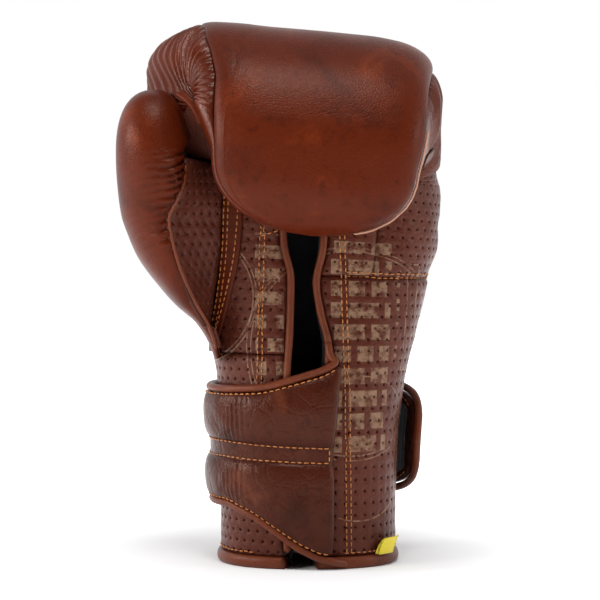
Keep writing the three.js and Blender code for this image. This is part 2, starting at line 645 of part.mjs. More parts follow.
// Thumb body.
const outerSkin = thumbLeather(thumbBackSeam, thumbFrontSeam, 9);
const innerSkin = thumbLeather(thumbFrontSeam, thumbEnd, 7);
const pocketFoam = thumbBody(LEATHER + THUMB_FOAM, POCKET_LOW, POCKET_HIGH);
const pocketDepth = LEATHER + THUMB_FOAM + GAP + 0.1;
const pocketOuter = thumbBody(pocketDepth, POCKET_LOW + GAP, POCKET_HIGH - GAP);
const pocketInner = thumbBody(pocketDepth + LINING, POCKET_LOW + 1.6, POCKET_HIGH - 1.6);
add('thumb_outer_leather', trimmed(toSolid(outerSkin)), materials.leather);
add('thumb_inner_leather', trimmed(toSolid(innerSkin)), materials.perforated);
const thumbWeltHeights = steps(9, 138, 214);
add(
  'thumb_welt',
  tube(thumbWeltHeights.map((z) => thumbPoint(z, thumbFrontSeam(z), -WELT_LIFT)), WELT_R),
  materials.piping,
);
add('thumb_foam', trimmed(thumbBody(LEATHER + GAP, THUMB_BASE, THUMB_SHOULDER).subtract(pocketFoam)),
  materials.foam);
add('thumb_lining', trimmed(pocketOuter.subtract(pocketInner)), materials.lining);

// Strap wrap and tab bodies.
add('strap_wrap_leather', strapWrapPart(STRAP_SKIN_IN, STRAP_SKIN_OUT), materials.strap);
add('strap_wrap_foam', strapWrapPart(STRAP_FOAM_IN, STRAP_FOAM_OUT), materials.foam);
const wrapEdge = (height, shift) =>
  strapEdge(wrapEnd + 1, wrapStart - 1.5, 14, flat(height), noLift, shift);
add('strap_wrap_piping_top', wrapEdge(WRAP_TOP, EDGE_SHIFT), materials.piping);
add('strap_wrap_piping_bottom', wrapEdge(WRAP_BOTTOM, -EDGE_SHIFT), materials.piping);
add('tab_leather', tabPart(STRAP_SKIN_IN, STRAP_SKIN_OUT, 0, 1), materials.strap);
add('tab_foam', tabPart(STRAP_LIFT + PATCH + GAP, STRAP_FOAM_OUT, 0, 1), materials.foam);
add('hook_patch', tabPart(STRAP_LIFT, STRAP_LIFT + PATCH, 6, 0.8), materials.hook);
add(
  'tab_piping',
  tube(
    steps(18, -90, 90).map((turn) => {
      const u = TAB_PIPING_REACH * lerp(0.02, 1, Math.cos(rad(turn)) ** 0.8);
      const deg = tabAngle(u);
      const s = TAB_MIDDLE + Math.sign(turn) * tabPipingHalf(u);
      return handDepth(s, deg, -tabLift(deg) - STRAP_LIFT - STRAP_THICK / 2);
    }),
    PIPING_R,
    PIPING_SIDES,
    30,
  ),
  materials.piping,
);

// The origin goes under the middle of the whole glove.
const bounds = new THREE.Box3().setFromObject(glove);
glove.position.set(-(bounds.min.x + bounds.max.x) / 2, -(bounds.min.y + bounds.max.y) / 2, 0);
const part = new THREE.Group();
part.add(glove);

export default part;
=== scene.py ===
"""The looks of the boxing glove: leather panels, padding, seams, piping, perforations and print."""

import bpy
import numpy as np
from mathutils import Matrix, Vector
from mathutils.bvhtree import BVHTree

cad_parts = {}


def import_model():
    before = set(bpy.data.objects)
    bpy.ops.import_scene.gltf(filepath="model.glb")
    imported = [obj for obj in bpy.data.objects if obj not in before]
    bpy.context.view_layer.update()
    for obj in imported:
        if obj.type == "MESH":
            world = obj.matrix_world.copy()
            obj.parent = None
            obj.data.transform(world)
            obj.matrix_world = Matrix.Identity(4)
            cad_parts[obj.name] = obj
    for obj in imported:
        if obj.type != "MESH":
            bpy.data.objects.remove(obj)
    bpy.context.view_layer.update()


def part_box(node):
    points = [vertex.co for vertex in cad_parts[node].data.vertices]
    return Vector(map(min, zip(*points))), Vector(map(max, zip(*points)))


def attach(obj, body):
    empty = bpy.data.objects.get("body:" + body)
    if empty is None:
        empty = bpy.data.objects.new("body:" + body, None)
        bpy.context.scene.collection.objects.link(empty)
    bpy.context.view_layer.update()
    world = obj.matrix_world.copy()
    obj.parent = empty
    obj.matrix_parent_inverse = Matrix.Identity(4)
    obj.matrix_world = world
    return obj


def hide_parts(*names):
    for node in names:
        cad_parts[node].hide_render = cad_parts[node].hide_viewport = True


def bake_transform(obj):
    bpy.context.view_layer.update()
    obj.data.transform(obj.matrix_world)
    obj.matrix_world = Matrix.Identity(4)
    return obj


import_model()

# ------------------------------------------------------------ shape, in millimetres, as in the CAD
FOLD_Y, FOLD_Z = -35.0, 222.0
BEND = 180.0
ROLL_START = FOLD_Z + BEND
ROLL_DROP = 35.0
ROLL_END = ROLL_START + ROLL_DROP
TIP_DEPTH = 22.0
TOP_SLOPE, SLOPE_ZERO_X = 0.09, -40.0
SPLIT = FOLD_Z + 60.0
HEM_TOP = 6.0
CUFF_TOP, SIDE_SEAM, SLIT_TOP = 118.0, 163.0, 202.0
LEATHER = 1.8
WELD = 0.02
SKIN = dict(weld=WELD, slot="leather")
STRAP_PIPE, BINDING_PIPE = 2.15, 2.1
POCKET_END = ROLL_START + 6
STRAP_LIFT, STRAP_THICK = 1.3, 6.5
THUMB_TIP, THUMB_DOME = 263.5, 34.0
TURN = 360.0


def profile(*knots):
    """A smooth curve through (station, value) knots that never overshoots them."""
    x, y = np.array(knots, float).T
    slope = np.diff(y) / np.diff(x)
    tangent = np.zeros_like(x)
    tangent[0], tangent[-1] = slope[0], slope[-1]
    a, b = slope[:-1], slope[1:]
    total = np.where(a * b > 0, a + b, 1.0)
    tangent[1:-1] = np.where(a * b > 0, 2 * a * b / total, 0.0)

    def at(s):
        s = np.clip(np.asarray(s, float), x[0], x[-1])
        i = np.clip(np.searchsorted(x, s, side="right") - 1, 0, len(x) - 2)
        h = x[i + 1] - x[i]
        t = (s - x[i]) / h
        t2, t3 = t * t, t**3
        return (
            (2 * t3 - 3 * t2 + 1) * y[i]
            + (t3 - 2 * t2 + t) * h * tangent[i]
            + (3 * t2 - 2 * t3) * y[i + 1]
            + (t3 - t2) * h * tangent[i + 1]
        )

    return at


def power(value, exponent):
    return np.sign(value) * np.abs(value) ** exponent


def dome(t, p):
    return np.maximum(0, 1 - np.clip(t, 0, 1) ** p) ** (1 / p)


def smooth(t):
    t = np.clip(t, 0, 1)
    return t * t * (3 - 2 * t)


HAND = {
    "right": profile((0, 50), (60, 51), (100, 55), (130, 62), (163, 69), (195, 73), (222, 74),
                     (262, 73), (312, 71), (342, 67), (372, 64), (402, 59), (449, 54)),
    "left": profile((0, -49), (60, -49.5), (100, -51), (130, -57), (163, -67), (195, -78), (222, -84),
                    (252, -89), (285, -91), (305, -86), (322, -73), (338, -60), (352, -54), (380, -52),
                    (449, -50)),
    "outer": profile((0, 75), (60, 76), (110, 76), (150, 81), (180, 88), (205, 92), (222, 94),
                     (252, 92), (282, 84), (312, 78), (342, 67), (372, 57), (402, 52), (449, 52)),
    "inner": profile((0, -6), (60, -6), (110, -5), (150, -2), (200, 0.5), (222, 1.5), (402, 2), (449, 2)),
    "square": profile((0, 2.3), (163, 2.4), (222, 2.8), (270, 4.4), (312, 4.8), (372, 4.5), (449, 4.4)),
}
CAVITY = {
    "right": profile((0, 37), (100, 39), (163, 49), (222, 51), (312, 48), (402, 42), (449, 42)),
    "left": profile((0, -36), (100, -38), (163, -50), (222, -60), (300, -57), (360, -38), (402, -36),
                    (449, -36)),
    "outer": profile((0, 63), (100, 62), (163, 56), (222, 46), (312, 42), (372, 38), (449, 36)),
    "inner": profile((0, 5), (100, 6), (163, 9), (222, 12), (262, 18), (342, 18), (402, 14), (449, 14)),
    "square": profile((0, 2.3), (163, 2.6), (449, 3)),
}
slope_share = profile((110, 0), (160, 0.35), (222, 1), (449, 1))


def tube_point(tube, s, deg):
    s, deg = np.broadcast_arrays(np.asarray(s, float), np.radians(np.asarray(deg, float)))
    bend = np.radians(np.clip(s - FOLD_Z, 0, BEND))
    down = np.maximum(0, s - ROLL_START)
    t = down / ROLL_DROP if tube is HAND else down * 0
    right, left = tube["right"](s), tube["left"](s)
    outer = TIP_DEPTH + (tube["outer"](s) - TIP_DEPTH) * dome(t, 2.8)
    inner = TIP_DEPTH + (tube["inner"](s) - TIP_DEPTH) * dome(t, 4)
    k = 2 / tube["square"](s)
    x = (right + left) / 2 + (right - left) / 2 * dome(t, 2.2) * power(np.cos(deg), k)
    n = (outer + inner) / 2 + (outer - inner) / 2 * power(np.sin(deg), k)
    z = np.minimum(s, FOLD_Z) - down + n * np.sin(bend)
    z = z - TOP_SLOPE * (x - SLOPE_ZERO_X) * slope_share(s)
    return np.stack([x, FOLD_Y + n * np.cos(bend), z], -1)


def unit(v):
    return v / np.maximum(np.linalg.norm(v, axis=-1, keepdims=True), 1e-9)


def inward(s, deg):
    """The direction from the outer surface to the hand's cavity."""
    return unit(tube_point(CAVITY, np.minimum(s, POCKET_END), deg) - tube_point(HAND, s, deg))


def hand_depth(s, deg, depth=0.0):
    depth = np.asarray(depth, float)
    return tube_point(HAND, s, deg) + inward(s, deg) * depth[..., None]


def cavity_height(s, deg, height):
    return tube_point(CAVITY, np.minimum(s, POCKET_END), deg) - inward(s, deg) * height


def palm_angle(s, x):
    right, left = HAND["right"](s), HAND["left"](s)
    share = np.clip((x - (right + left) / 2) / ((right - left) / 2), -1, 1)
    return TURN - np.degrees(np.arccos(power(share, HAND["square"](s) / 2)))


slit_left_x = profile((0, -11), (60, -12), (100, -11.5), (135, -9.5), (161, -9), (180, -13), (202, -14))
slit_right_x = profile((0, 4), (60, 5), (100, 10.5), (122, 12), (142, 7.5), (159, 5), (180, 9), (202, 10))

# ------------------------------------------------------------ from the glove's own place to the frame
# The label's solid is a slab between known points, so its box gives the shift that the CAD's centring made.
LABEL_X = 40


def label_corners():
    out = []
    for v in (0, 1):
        s = HEM_TOP + 1.5 + v * (17 - HEM_TOP - 1.5)
        for u in (0, 1):
            for depth in (-1.2, -2.4 - v):
                out.append(hand_depth(s, palm_angle(s, LABEL_X + 9 * (u - 0.5) + 4 * v), depth))
    return np.array(out)


SHIFT = np.array(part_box("label")[0]) * 1000 - label_corners().min(0)


def world(points):
    return (np.asarray(points, float) + SHIFT) / 1000


# ------------------------------------------------------------ smooth noise
def noise(x, y, size, seed):
    """Smooth noise from about -1 to 1, with features of the given size."""
    table = np.random.default_rng(seed).uniform(-1, 1, (64, 64))
    fx, fy = np.asarray(x, float) / size + 31.7, np.asarray(y, float) / size + 17.3
    ix, iy = np.floor(fx).astype(int), np.floor(fy).astype(int)
    tx, ty = smooth(fx - ix), smooth(fy - iy)
    at = lambda i, j: table[(ix + i) % 64, (iy + j) % 64]
    low = at(0, 0) * (1 - tx) + at(1, 0) * tx
    high = at(0, 1) * (1 - tx) + at(1, 1) * tx
    return low * (1 - ty) + high * ty


# ------------------------------------------------------------ meshes
surfaces = {}


def mesh_piece(name, points, faces, material, body=None, nodes=(), slot=None, uv=None, seam=None,
               weld=0.0):
    """Makes an object from points in mm. uv holds a pair in mm for each point, seam a closeness to a seam."""
    mesh = bpy.data.meshes.new(name)
    mesh.from_pydata([tuple(p) for p in world(points)], [], faces)
    if uv is not None:
        layer = mesh.uv_layers.new(name="print")
        loops = np.zeros(len(mesh.loops), int)
        mesh.loops.foreach_get("vertex_index", loops)
        layer.data.foreach_set("uv", (np.asarray(uv, float)[loops] / 100).ravel())
    if seam is not None:
        attribute = mesh.attributes.new("seam", "FLOAT", "POINT")
        attribute.data.foreach_set("value", np.asarray(seam, np.float32).ravel())
    if weld:
        tidy_mesh(mesh, weld)
    outward_faces(mesh)
    mesh.polygons.foreach_set("use_smooth", [True] * len(mesh.polygons))
    mesh.materials.append(material)
    piece = bpy.data.objects.new(name, mesh)
    bpy.context.scene.collection.objects.link(piece)
    verts = np.array([v.co for v in mesh.vertices])
    surfaces[name] = BVHTree.FromPolygons([tuple(v) for v in verts],
                                          [tuple(p.vertices) for p in mesh.polygons])
    if nodes:
        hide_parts(*nodes)
    if body:
        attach(piece, body)
    return piece


def tidy_mesh(mesh, distance):
    import bmesh

    bm = bmesh.new()
    bm.from_mesh(mesh)
    bmesh.ops.remove_doubles(bm, verts=bm.verts, dist=distance / 1000)
    bmesh.ops.dissolve_degenerate(bm, edges=bm.edges, dist=1e-6)
    bmesh.ops.delete(bm, geom=[v for v in bm.verts if not v.link_faces], context="VERTS")
    bm.to_mesh(mesh)
    bm.free()


def outward_faces(mesh):
    mesh.calc_loop_triangles()
    co = np.array([v.co for v in mesh.vertices])
    tri = np.array([t.vertices for t in mesh.loop_triangles])
    a, b, c = co[tri[:, 0]], co[tri[:, 1]], co[tri[:, 2]]
    if np.einsum("ij,ij->i", a, np.cross(b, c)).sum() < 0:
        mesh.flip_normals()


def grid_faces(rows, columns, first=0, flip=False):
    i = np.arange(rows * columns).reshape(rows, columns) + first
    quads = np.stack([i[:-1, :-1], i[:-1, 1:], i[1:, 1:], i[1:, :-1]], -1).reshape(-1, 4)
    return quads[:, ::-1] if flip else quads


def slab_faces(rows, columns):
    count = rows * columns
    i = np.arange(count).reshape(rows, columns)
    rim = np.concatenate([i[0, :], i[1:, -1], i[-1, -2::-1], i[-2:0:-1, 0]])
    after = np.roll(rim, -1)
    walls = np.stack([after, rim, rim + count, after + count], -1)
    faces = np.concatenate([grid_faces(rows, columns), grid_faces(rows, columns, count, True), walls])
    return [tuple(int(k) for k in f) for f in faces]


def spans(grid, axis):
    """Distances along one axis of a grid of points, from its start, in mm."""
    step = np.linalg.norm(np.diff(grid, axis=axis), axis=-1)
    zero = np.zeros_like(np.take(step, [0], axis))
    return np.concatenate([zero, np.cumsum(step, axis)], axis)


def grid_normals(grid):
    """Normals of a grid of points, pointing away from the hand's middle line."""
    du = np.gradient(grid, axis=1)
    dv = np.gradient(grid, axis=0)
    return unit(np.cross(du, dv))


class Panel:
    """A grid of points on a surface, with distances to its edges and normals."""

    def __init__(self, grid, toward):
        self.grid = grid
        normal = grid_normals(grid)
        sign = np.sign(-(normal * toward).sum(-1, keepdims=True))
        sign[sign == 0] = 1
        normal = normal * sign
        weak = (np.abs((normal * toward).sum(-1)) < 0.15)[..., None]
        self.normal = np.where(weak, -toward, normal)
        self.u = spans(grid, 1)
        self.v = spans(grid, 0)
        self.to_left, self.to_right = self.u, self.u[:, -1:] - self.u
        self.to_low, self.to_high = self.v, self.v[-1:, :] - self.v

    def lifted(self, height):
        return self.grid + self.normal * np.asarray(height, float)[..., None]


def valley(distance, depth, width):
    """How far a padded surface sinks next to a seam."""
    return -depth * (1 - np.sqrt(np.clip(1 - (1 - np.clip(distance / width, 0, 1)) ** 2, 0, 1)))


def pucker(distance, along, reach, size, height, seed):
    """Small gathers that run out of a seam."""
    wave = np.cos(2 * np.pi * along / size + 2.5 * noise(along, distance, size * 2.5, seed))
    strength = 0.65 + 0.35 * noise(along, distance * 0, size * 3, seed + 1)
    return height * strength * wave * np.exp(-((distance / reach) ** 1.5))


def slab_piece(name, panel, height, thick, material, uv=None, seam=None, **options):
    outer = panel.lifted(height)
    inner = panel.lifted(np.asarray(height) - thick)
    rows, columns = outer.shape[:2]
    points = np.concatenate([outer.reshape(-1, 3), inner.reshape(-1, 3)])
    if uv is not None:
        uv = np.concatenate([uv.reshape(-1, 2)] * 2)
    if seam is not None:
        seam = np.concatenate([seam.ravel()] * 2)
    return mesh_piece(name, points, slab_faces(rows, columns), material, uv=uv, seam=seam, **options)


def angle_grid(rows, start, end, columns):
    """Stations and degrees of a grid of points, from one edge of a panel to the other."""
    s = np.asarray(rows, float)[:, None]
    u = np.linspace(0, 1, columns)[None, :]
    lo = start(s) if callable(start) else np.full_like(s, start)
    hi = end(s) if callable(end) else np.full_like(s, end)
    deg = lo + (hi - lo) * u
    return np.broadcast_to(s, deg.shape), deg


def sandwich(name, outer, inner, material, **options):
    """A closed piece between two grids of points."""
    points = np.concatenate([outer.reshape(-1, 3), inner.reshape(-1, 3)])
    return mesh_piece(name, points, slab_faces(*outer.shape[:2]), material, **options)


def hand_panel(s_values, start, end, columns):
    s, deg = angle_grid(s_values, start, end, columns)
    return Panel(hand_depth(s, deg), inward(s, deg)), s, deg


# ------------------------------------------------------------ arc lengths round the hand
class Arc:
    """Turns a distance round the hand (0 at x = 0 on the palm, + to the little finger) into an angle."""

    def __init__(self):
        self.s = np.arange(0, 262, 2.0)
        self.a = np.arange(-190, 190, 1.0)
        degrees = np.linspace(140, 410, 1081)
        self.table = np.zeros((len(self.s), len(self.a)))
        for i, s in enumerate(self.s):
            line = tube_point(HAND, s, degrees)
            along = np.concatenate([[0], np.cumsum(np.linalg.norm(np.diff(line, axis=0), axis=1))])
            along -= np.interp(palm_angle(s, 0.0), degrees, along)
            self.table[i] = np.interp(self.a, along, degrees)

    def deg(self, a, s):
        a, s = np.broadcast_arrays(np.asarray(a, float), np.asarray(s, float))
        fs = np.clip((s - self.s[0]) / 2.0, 0, len(self.s) - 1.001)
        fa = np.clip(a - self.a[0], 0, len(self.a) - 1.001)
        i, j = fs.astype(int), fa.astype(int)
        ts, ta = fs - i, fa - j
        low = self.table[i, j] * (1 - ta) + self.table[i, j + 1] * ta
        high = self.table[i + 1, j] * (1 - ta) + self.table[i + 1, j + 1] * ta
        return low * (1 - ts) + high * ts

    def of(self, deg, s):
        """The distance round the hand of an angle, for one angle at each station."""
        deg, s = np.broadcast_arrays(np.asarray(deg, float), np.asarray(s, float))
        flat = [
            np.interp(d, self.table[min(int(round(z / 2)), len(self.s) - 1)], self.a)
            for d, z in zip(deg.ravel(), s.ravel())
        ]
        return np.array(flat).reshape(deg.shape)


arc = Arc()


def hand_normal(s, deg):
    e = 0.4
    ds = tube_point(HAND, s + e, deg) - tube_point(HAND, s - e, deg)
    dd = tube_point(HAND, s, deg + e) - tube_point(HAND, s, deg - e)
    n = unit(np.cross(dd, ds))
    toward = inward(s, deg)
    return n * -np.sign((n * toward).sum(-1, keepdims=True))


def on_hand(a, s):
    deg = arc.deg(a, s)
    return tube_point(HAND, s, deg), hand_normal(s, deg)


def perforated(name, s0, s1, start, end, lift, material, pitch=(5.9, 5.6), radius=0.85,
               anchor="start", place=on_hand, stagger=True, **options):
    """A leather panel with rows of punched holes, staggered or in line.

    start and end are distances along place."""
    rows = max(2, int(round((s1 - s0) / pitch[1])))
    s_lines = np.linspace(s0, s1, 2 * rows + 1)
    begin, finish = start(s_lines), end(s_lines)
    cells = int(np.ceil((finish - begin).max() / pitch[0]))
    half = np.arange(2 * cells + 1) * pitch[0] / 2
    if anchor == "start":
        across = begin[:, None] + half[None, :]
    else:
        across = finish[:, None] - half[::-1][None, :]
    free = (across > begin[:, None] - 0.01) & (across < finish[:, None] + 0.01)
    across = np.clip(across, begin[:, None], finish[:, None])
    heights = np.broadcast_to(s_lines[:, None], across.shape)
    count = across.size
    index = np.arange(count).reshape(across.shape)
    a_list, s_list = [across.ravel()] * 2, [heights.ravel()] * 2
    d_list = [np.zeros(count), np.full(count, LEATHER)]
    faces = []
    extra = 2 * count
    octagon = np.radians(np.array([225, 270, 315, 0, 45, 90, 135, 180]))
    rings = ((radius + 0.3, 0.0), (radius, 0.22), (radius * 0.92, 1.1))
    last = 2 * cells
    for j in range(rows):
        low, mid, high = 2 * j, 2 * j + 1, 2 * j + 2
        first = j % 2 if stagger else 0
        starts = list(range(first, last - 1, 2))
        narrow = [k for k in (0, last - 1) if first]
        for k in narrow:
            for a, b in ((low, mid), (mid, high)):
                quad = [index[a, k], index[a, k + 1], index[b, k + 1], index[b, k]]
                faces += [quad, [q + count for q in quad[::-1]]]
        for k in starts:
            rim = [index[low, k], index[low, k + 1], index[low, k + 2], index[mid, k + 2],
                   index[high, k + 2], index[high, k + 1], index[high, k], index[mid, k]]
            wanted = free[low : high + 1, k : k + 3].all()
            centre_a, centre_s = across[mid, k + 1], s_lines[mid]
            centre = index[mid, k + 1]
            for q in range(0, 8, 2):
                quad = [rim[q], rim[q + 1], centre, rim[q - 1]]
                faces.append([p + count for p in quad[::-1]])
                if not wanted:
                    faces.append(quad)
            if not wanted:
                continue
            ring_ids = [rim]
            for r, depth in rings:
                ids = list(range(extra, extra + 8))
                extra += 8
                a_list.append(centre_a + r * np.cos(octagon))
                s_list.append(centre_s + r * np.sin(octagon))
                d_list.append(np.full(8, depth))
                ring_ids.append(ids)
            for outer, inner in zip(ring_ids[:-1], ring_ids[1:]):
                faces += [[outer[q], outer[(q + 1) % 8], inner[(q + 1) % 8], inner[q]] for q in range(8)]
            faces.append(ring_ids[-1])
    edge = np.concatenate([index[0, :], index[1:, -1], index[-1, -2::-1], index[-2:0:-1, 0]])
    for p, q in zip(edge, np.roll(edge, -1)):
        faces.append([q, p, p + count, q + count])
    a, s, d = np.concatenate(a_list), np.concatenate(s_list), np.concatenate(d_list)
    lo, hi = np.interp(s, s_lines, begin), np.interp(s, s_lines, finish)
    near = np.minimum(np.minimum(a - lo, hi - a), np.minimum(s - s0, s1 - s))
    points, normals = place(a, s)
    points = points + normals * (lift(a, s, near) - d)[:, None]
    uv = np.stack([a, s], -1)
    seam = np.exp(-np.maximum(near, 0) / 3.0)
    return mesh_piece(name, points, [tuple(int(v) for v in f) for f in faces], material, uv=uv, seam=seam,
                      weld=WELD, **options)


# ------------------------------------------------------------ tubes and stitches
def resample(points, step):
    points = np.asarray(points, float)
    along = np.concatenate([[0], np.cumsum(np.linalg.norm(np.diff(points, axis=0), axis=1))])
    count = max(2, int(round(along[-1] / step)))
    at = np.linspace(0, along[-1], count + 1)
    return np.stack([np.interp(at, along, points[:, k]) for k in range(3)], -1)


def soften(points, times=3):
    points = points.copy()
    for _ in range(times):
        points[1:-1] = (points[:-2] + 2 * points[1:-1] + points[2:]) / 4
    return points


def wall_faces(rings, sides):
    """Quads between rings of points that follow one another."""
    faces = []
    for i in range(rings - 1):
        for k in range(sides):
            a, b = i * sides + k, i * sides + (k + 1) % sides
            faces.append((a, b, b + sides, a + sides))
    return faces


def tube_piece(name, path, radius, material, sides=14, wobble=0.0, seed=0, step=1.6, **options):
    path = soften(resample(path, step))
    n = len(path)
    tangent = unit(np.gradient(path, axis=0))
    side = np.zeros_like(path)
    reference = np.cross(tangent[0], [0, 0, 1.0])
    if np.linalg.norm(reference) < 0.1:
        reference = np.cross(tangent[0], [1.0, 0, 0])
    for i in range(n):
        reference = unit(reference - tangent[i] * (reference @ tangent[i]))
        side[i] = reference
    up = np.cross(tangent, side)
    turn = np.linspace(0, 2 * np.pi, sides, endpoint=False)
    along = np.arange(n) * step
    r = np.asarray(radius, float) * np.ones(n)
    r = r * (1 + wobble * noise(along, along * 0, 5.0, seed))
    end = np.minimum(np.arange(n), np.arange(n)[::-1]) * step
    r = r * np.sqrt(np.clip(1 - (1 - np.clip((end + 0.15) / 1.8, 0, 1)) ** 2, 0.02, 1))
    ring = side[:, None] * np.cos(turn)[None, :, None] + up[:, None] * np.sin(turn)[None, :, None]
    points = (path[:, None] + ring * r[:, None, None]).reshape(-1, 3)
    faces = wall_faces(n, sides)
    faces.append(tuple(range(sides))[::-1])
    faces.append(tuple(range((n - 1) * sides, n * sides)))
    uv = np.stack([np.repeat(along, sides), np.tile(np.degrees(turn) / 10, n)], -1)
    return mesh_piece(name, points, faces, material, uv=uv, **options)


def nearest_hit(point, names, *reach):
    """The nearest place on the named pieces to a point in metres."""
    best = None
    for name in names:
        hit = surfaces[name].find_nearest(Vector(point), *reach)
        if hit[0] is not None and (best is None or hit[3] < best[3]):
            best = hit
    return best


def on_surface(points, names, lift=0.0):
    """Moves points in mm to the nearest place on the named pieces, and returns them with their normals."""
    found, normals = [], []
    for p in world(points):
        best = nearest_hit(p, names)
        found.append(np.array(best[0]) * 1000 - SHIFT)
        normals.append(np.array(best[1]))
    found, normals = np.array(found), unit(np.array(normals))
    return found + normals * lift, normals


def stitches(name, path, on, body, length=2.7, gap=0.9, radius=0.35, lift=0.1, blend=None):
    """A row of thread stitches along a path, lying on the named pieces."""
    path = resample(path, length + gap)
    middle = (path[:-1] + path[1:]) / 2
    tangent = unit(path[1:] - path[:-1])
    middle, normal = on_surface(middle, on, lift)
    normal = unit(normal - tangent * (normal * tangent).sum(-1, keepdims=True))
    side = np.cross(tangent, normal)
    t = np.linspace(-0.5, 0.5, 7)
    r = radius * np.sqrt(np.clip(1.02 - (2 * t) ** 4, 0.02, 1))
    rise = radius * (0.9 - 5.2 * np.abs(t) ** 2.5)
    sides = 6
    turn = np.linspace(0, 2 * np.pi, sides, endpoint=False)
    m = len(middle)
    centre = (middle[:, None] + tangent[:, None] * (t * length)[None, :, None]
              + normal[:, None] * rise[None, :, None])
    ring = side[:, None] * np.cos(turn)[None, :, None] + normal[:, None] * np.sin(turn)[None, :, None]
    points = centre[:, :, None] + ring[:, None] * r[None, :, None, None]
    per = len(t) * sides
    faces = []
    for q in range(m):
        base = q * per
        for i in range(len(t) - 1):
            for k in range(sides):
                a, b = base + i * sides + k, base + i * sides + (k + 1) % sides
                faces.append((a, a + sides, b + sides, b))
        faces.append(tuple(base + k for k in range(sides)))
        faces.append(tuple(base + per - 1 - k for k in range(sides)))
    uv = np.zeros((len(points.reshape(-1, 3)), 2))
    piece = mesh_piece(name, points.reshape(-1, 3), faces, thread, uv=uv, slot="piping")
    if blend:
        blend(piece)
    else:
        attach(piece, body)
    return piece


def double_row(name, path, on, body, spacing=2.7):
    """Two parallel rows of stitches, half the spacing to each side of the path."""
    path = resample(path, 2.0)
    base, normal = on_surface(path, on)
    side = unit(np.cross(np.gradient(base, axis=0), normal))
    for tag, sign in (("a", 1), ("b", -1)):
        stitches(f"{name}_{tag}", base + side * sign * spacing / 2, on, body)


# ------------------------------------------------------------ materials
def node(tree, kind, **values):
    n = tree.nodes.new(kind)
    for key, value in values.items():
        if key in n.inputs.keys():
            n.inputs[key].default_value = value
        else:
            setattr(n, key, value)
    return n


def math_node(tree, operation, a, b=None, clamp=False):
    n = tree.nodes.new("ShaderNodeMath")
    n.operation, n.use_clamp = operation, clamp
    for i, value in enumerate((a, b)):
        if value is None:
            continue
        if isinstance(value, (int, float)):
            n.inputs[i].default_value = value
        else:
            tree.links.new(value, n.inputs[i])
    return n.outputs[0]


def times(tree, a, b):
    return math_node(tree, "MULTIPLY", a, b)


def mix_colour(tree, factor, a, b):
    n = tree.nodes.new("ShaderNodeMix")
    n.data_type = "RGBA"
    sockets = [n.inputs[0], n.inputs[6], n.inputs[7]]
    for socket, value in zip(sockets, (factor, a, b)):
        if isinstance(value, (int, float)):
            socket.default_value = value
        elif isinstance(value, tuple):
            socket.default_value = (*value, 1)
        else:
            tree.links.new(value, socket)
    return n.outputs[2]


def noise_node(tree, vector, scale, detail=4.0, roughness=0.55, distortion=0.0):
    n = node(tree, "ShaderNodeTexNoise", Scale=scale, Detail=detail, Roughness=roughness,
             Distortion=distortion)
    tree.links.new(vector, n.inputs["Vector"])
    return n.outputs["Fac"]


def ramp(tree, value, low, high):
    n = node(tree, "ShaderNodeMapRange")
    n.inputs["From Min"].default_value, n.inputs["From Max"].default_value = low, high
    n.interpolation_type = "SMOOTHSTEP"
    tree.links.new(value, n.inputs["Value"])
    return n.outputs["Result"]


def start_material(name):
    material = bpy.data.materials.new(name)
    material.use_nodes = True
    tree = material.node_tree
    shader = next(n for n in tree.nodes if n.type == "BSDF_PRINCIPLED")
    where = node(tree, "ShaderNodeTexCoord").outputs["Object"]
    return material, tree, shader, where


def add_bump(tree, shader, height, strength, distance):
    bump = node(tree, "ShaderNodeBump", Strength=strength, Distance=distance)
    tree.links.new(height, bump.inputs["Height"])
    tree.links.new(bump.outputs["Normal"], shader.inputs["Normal"])


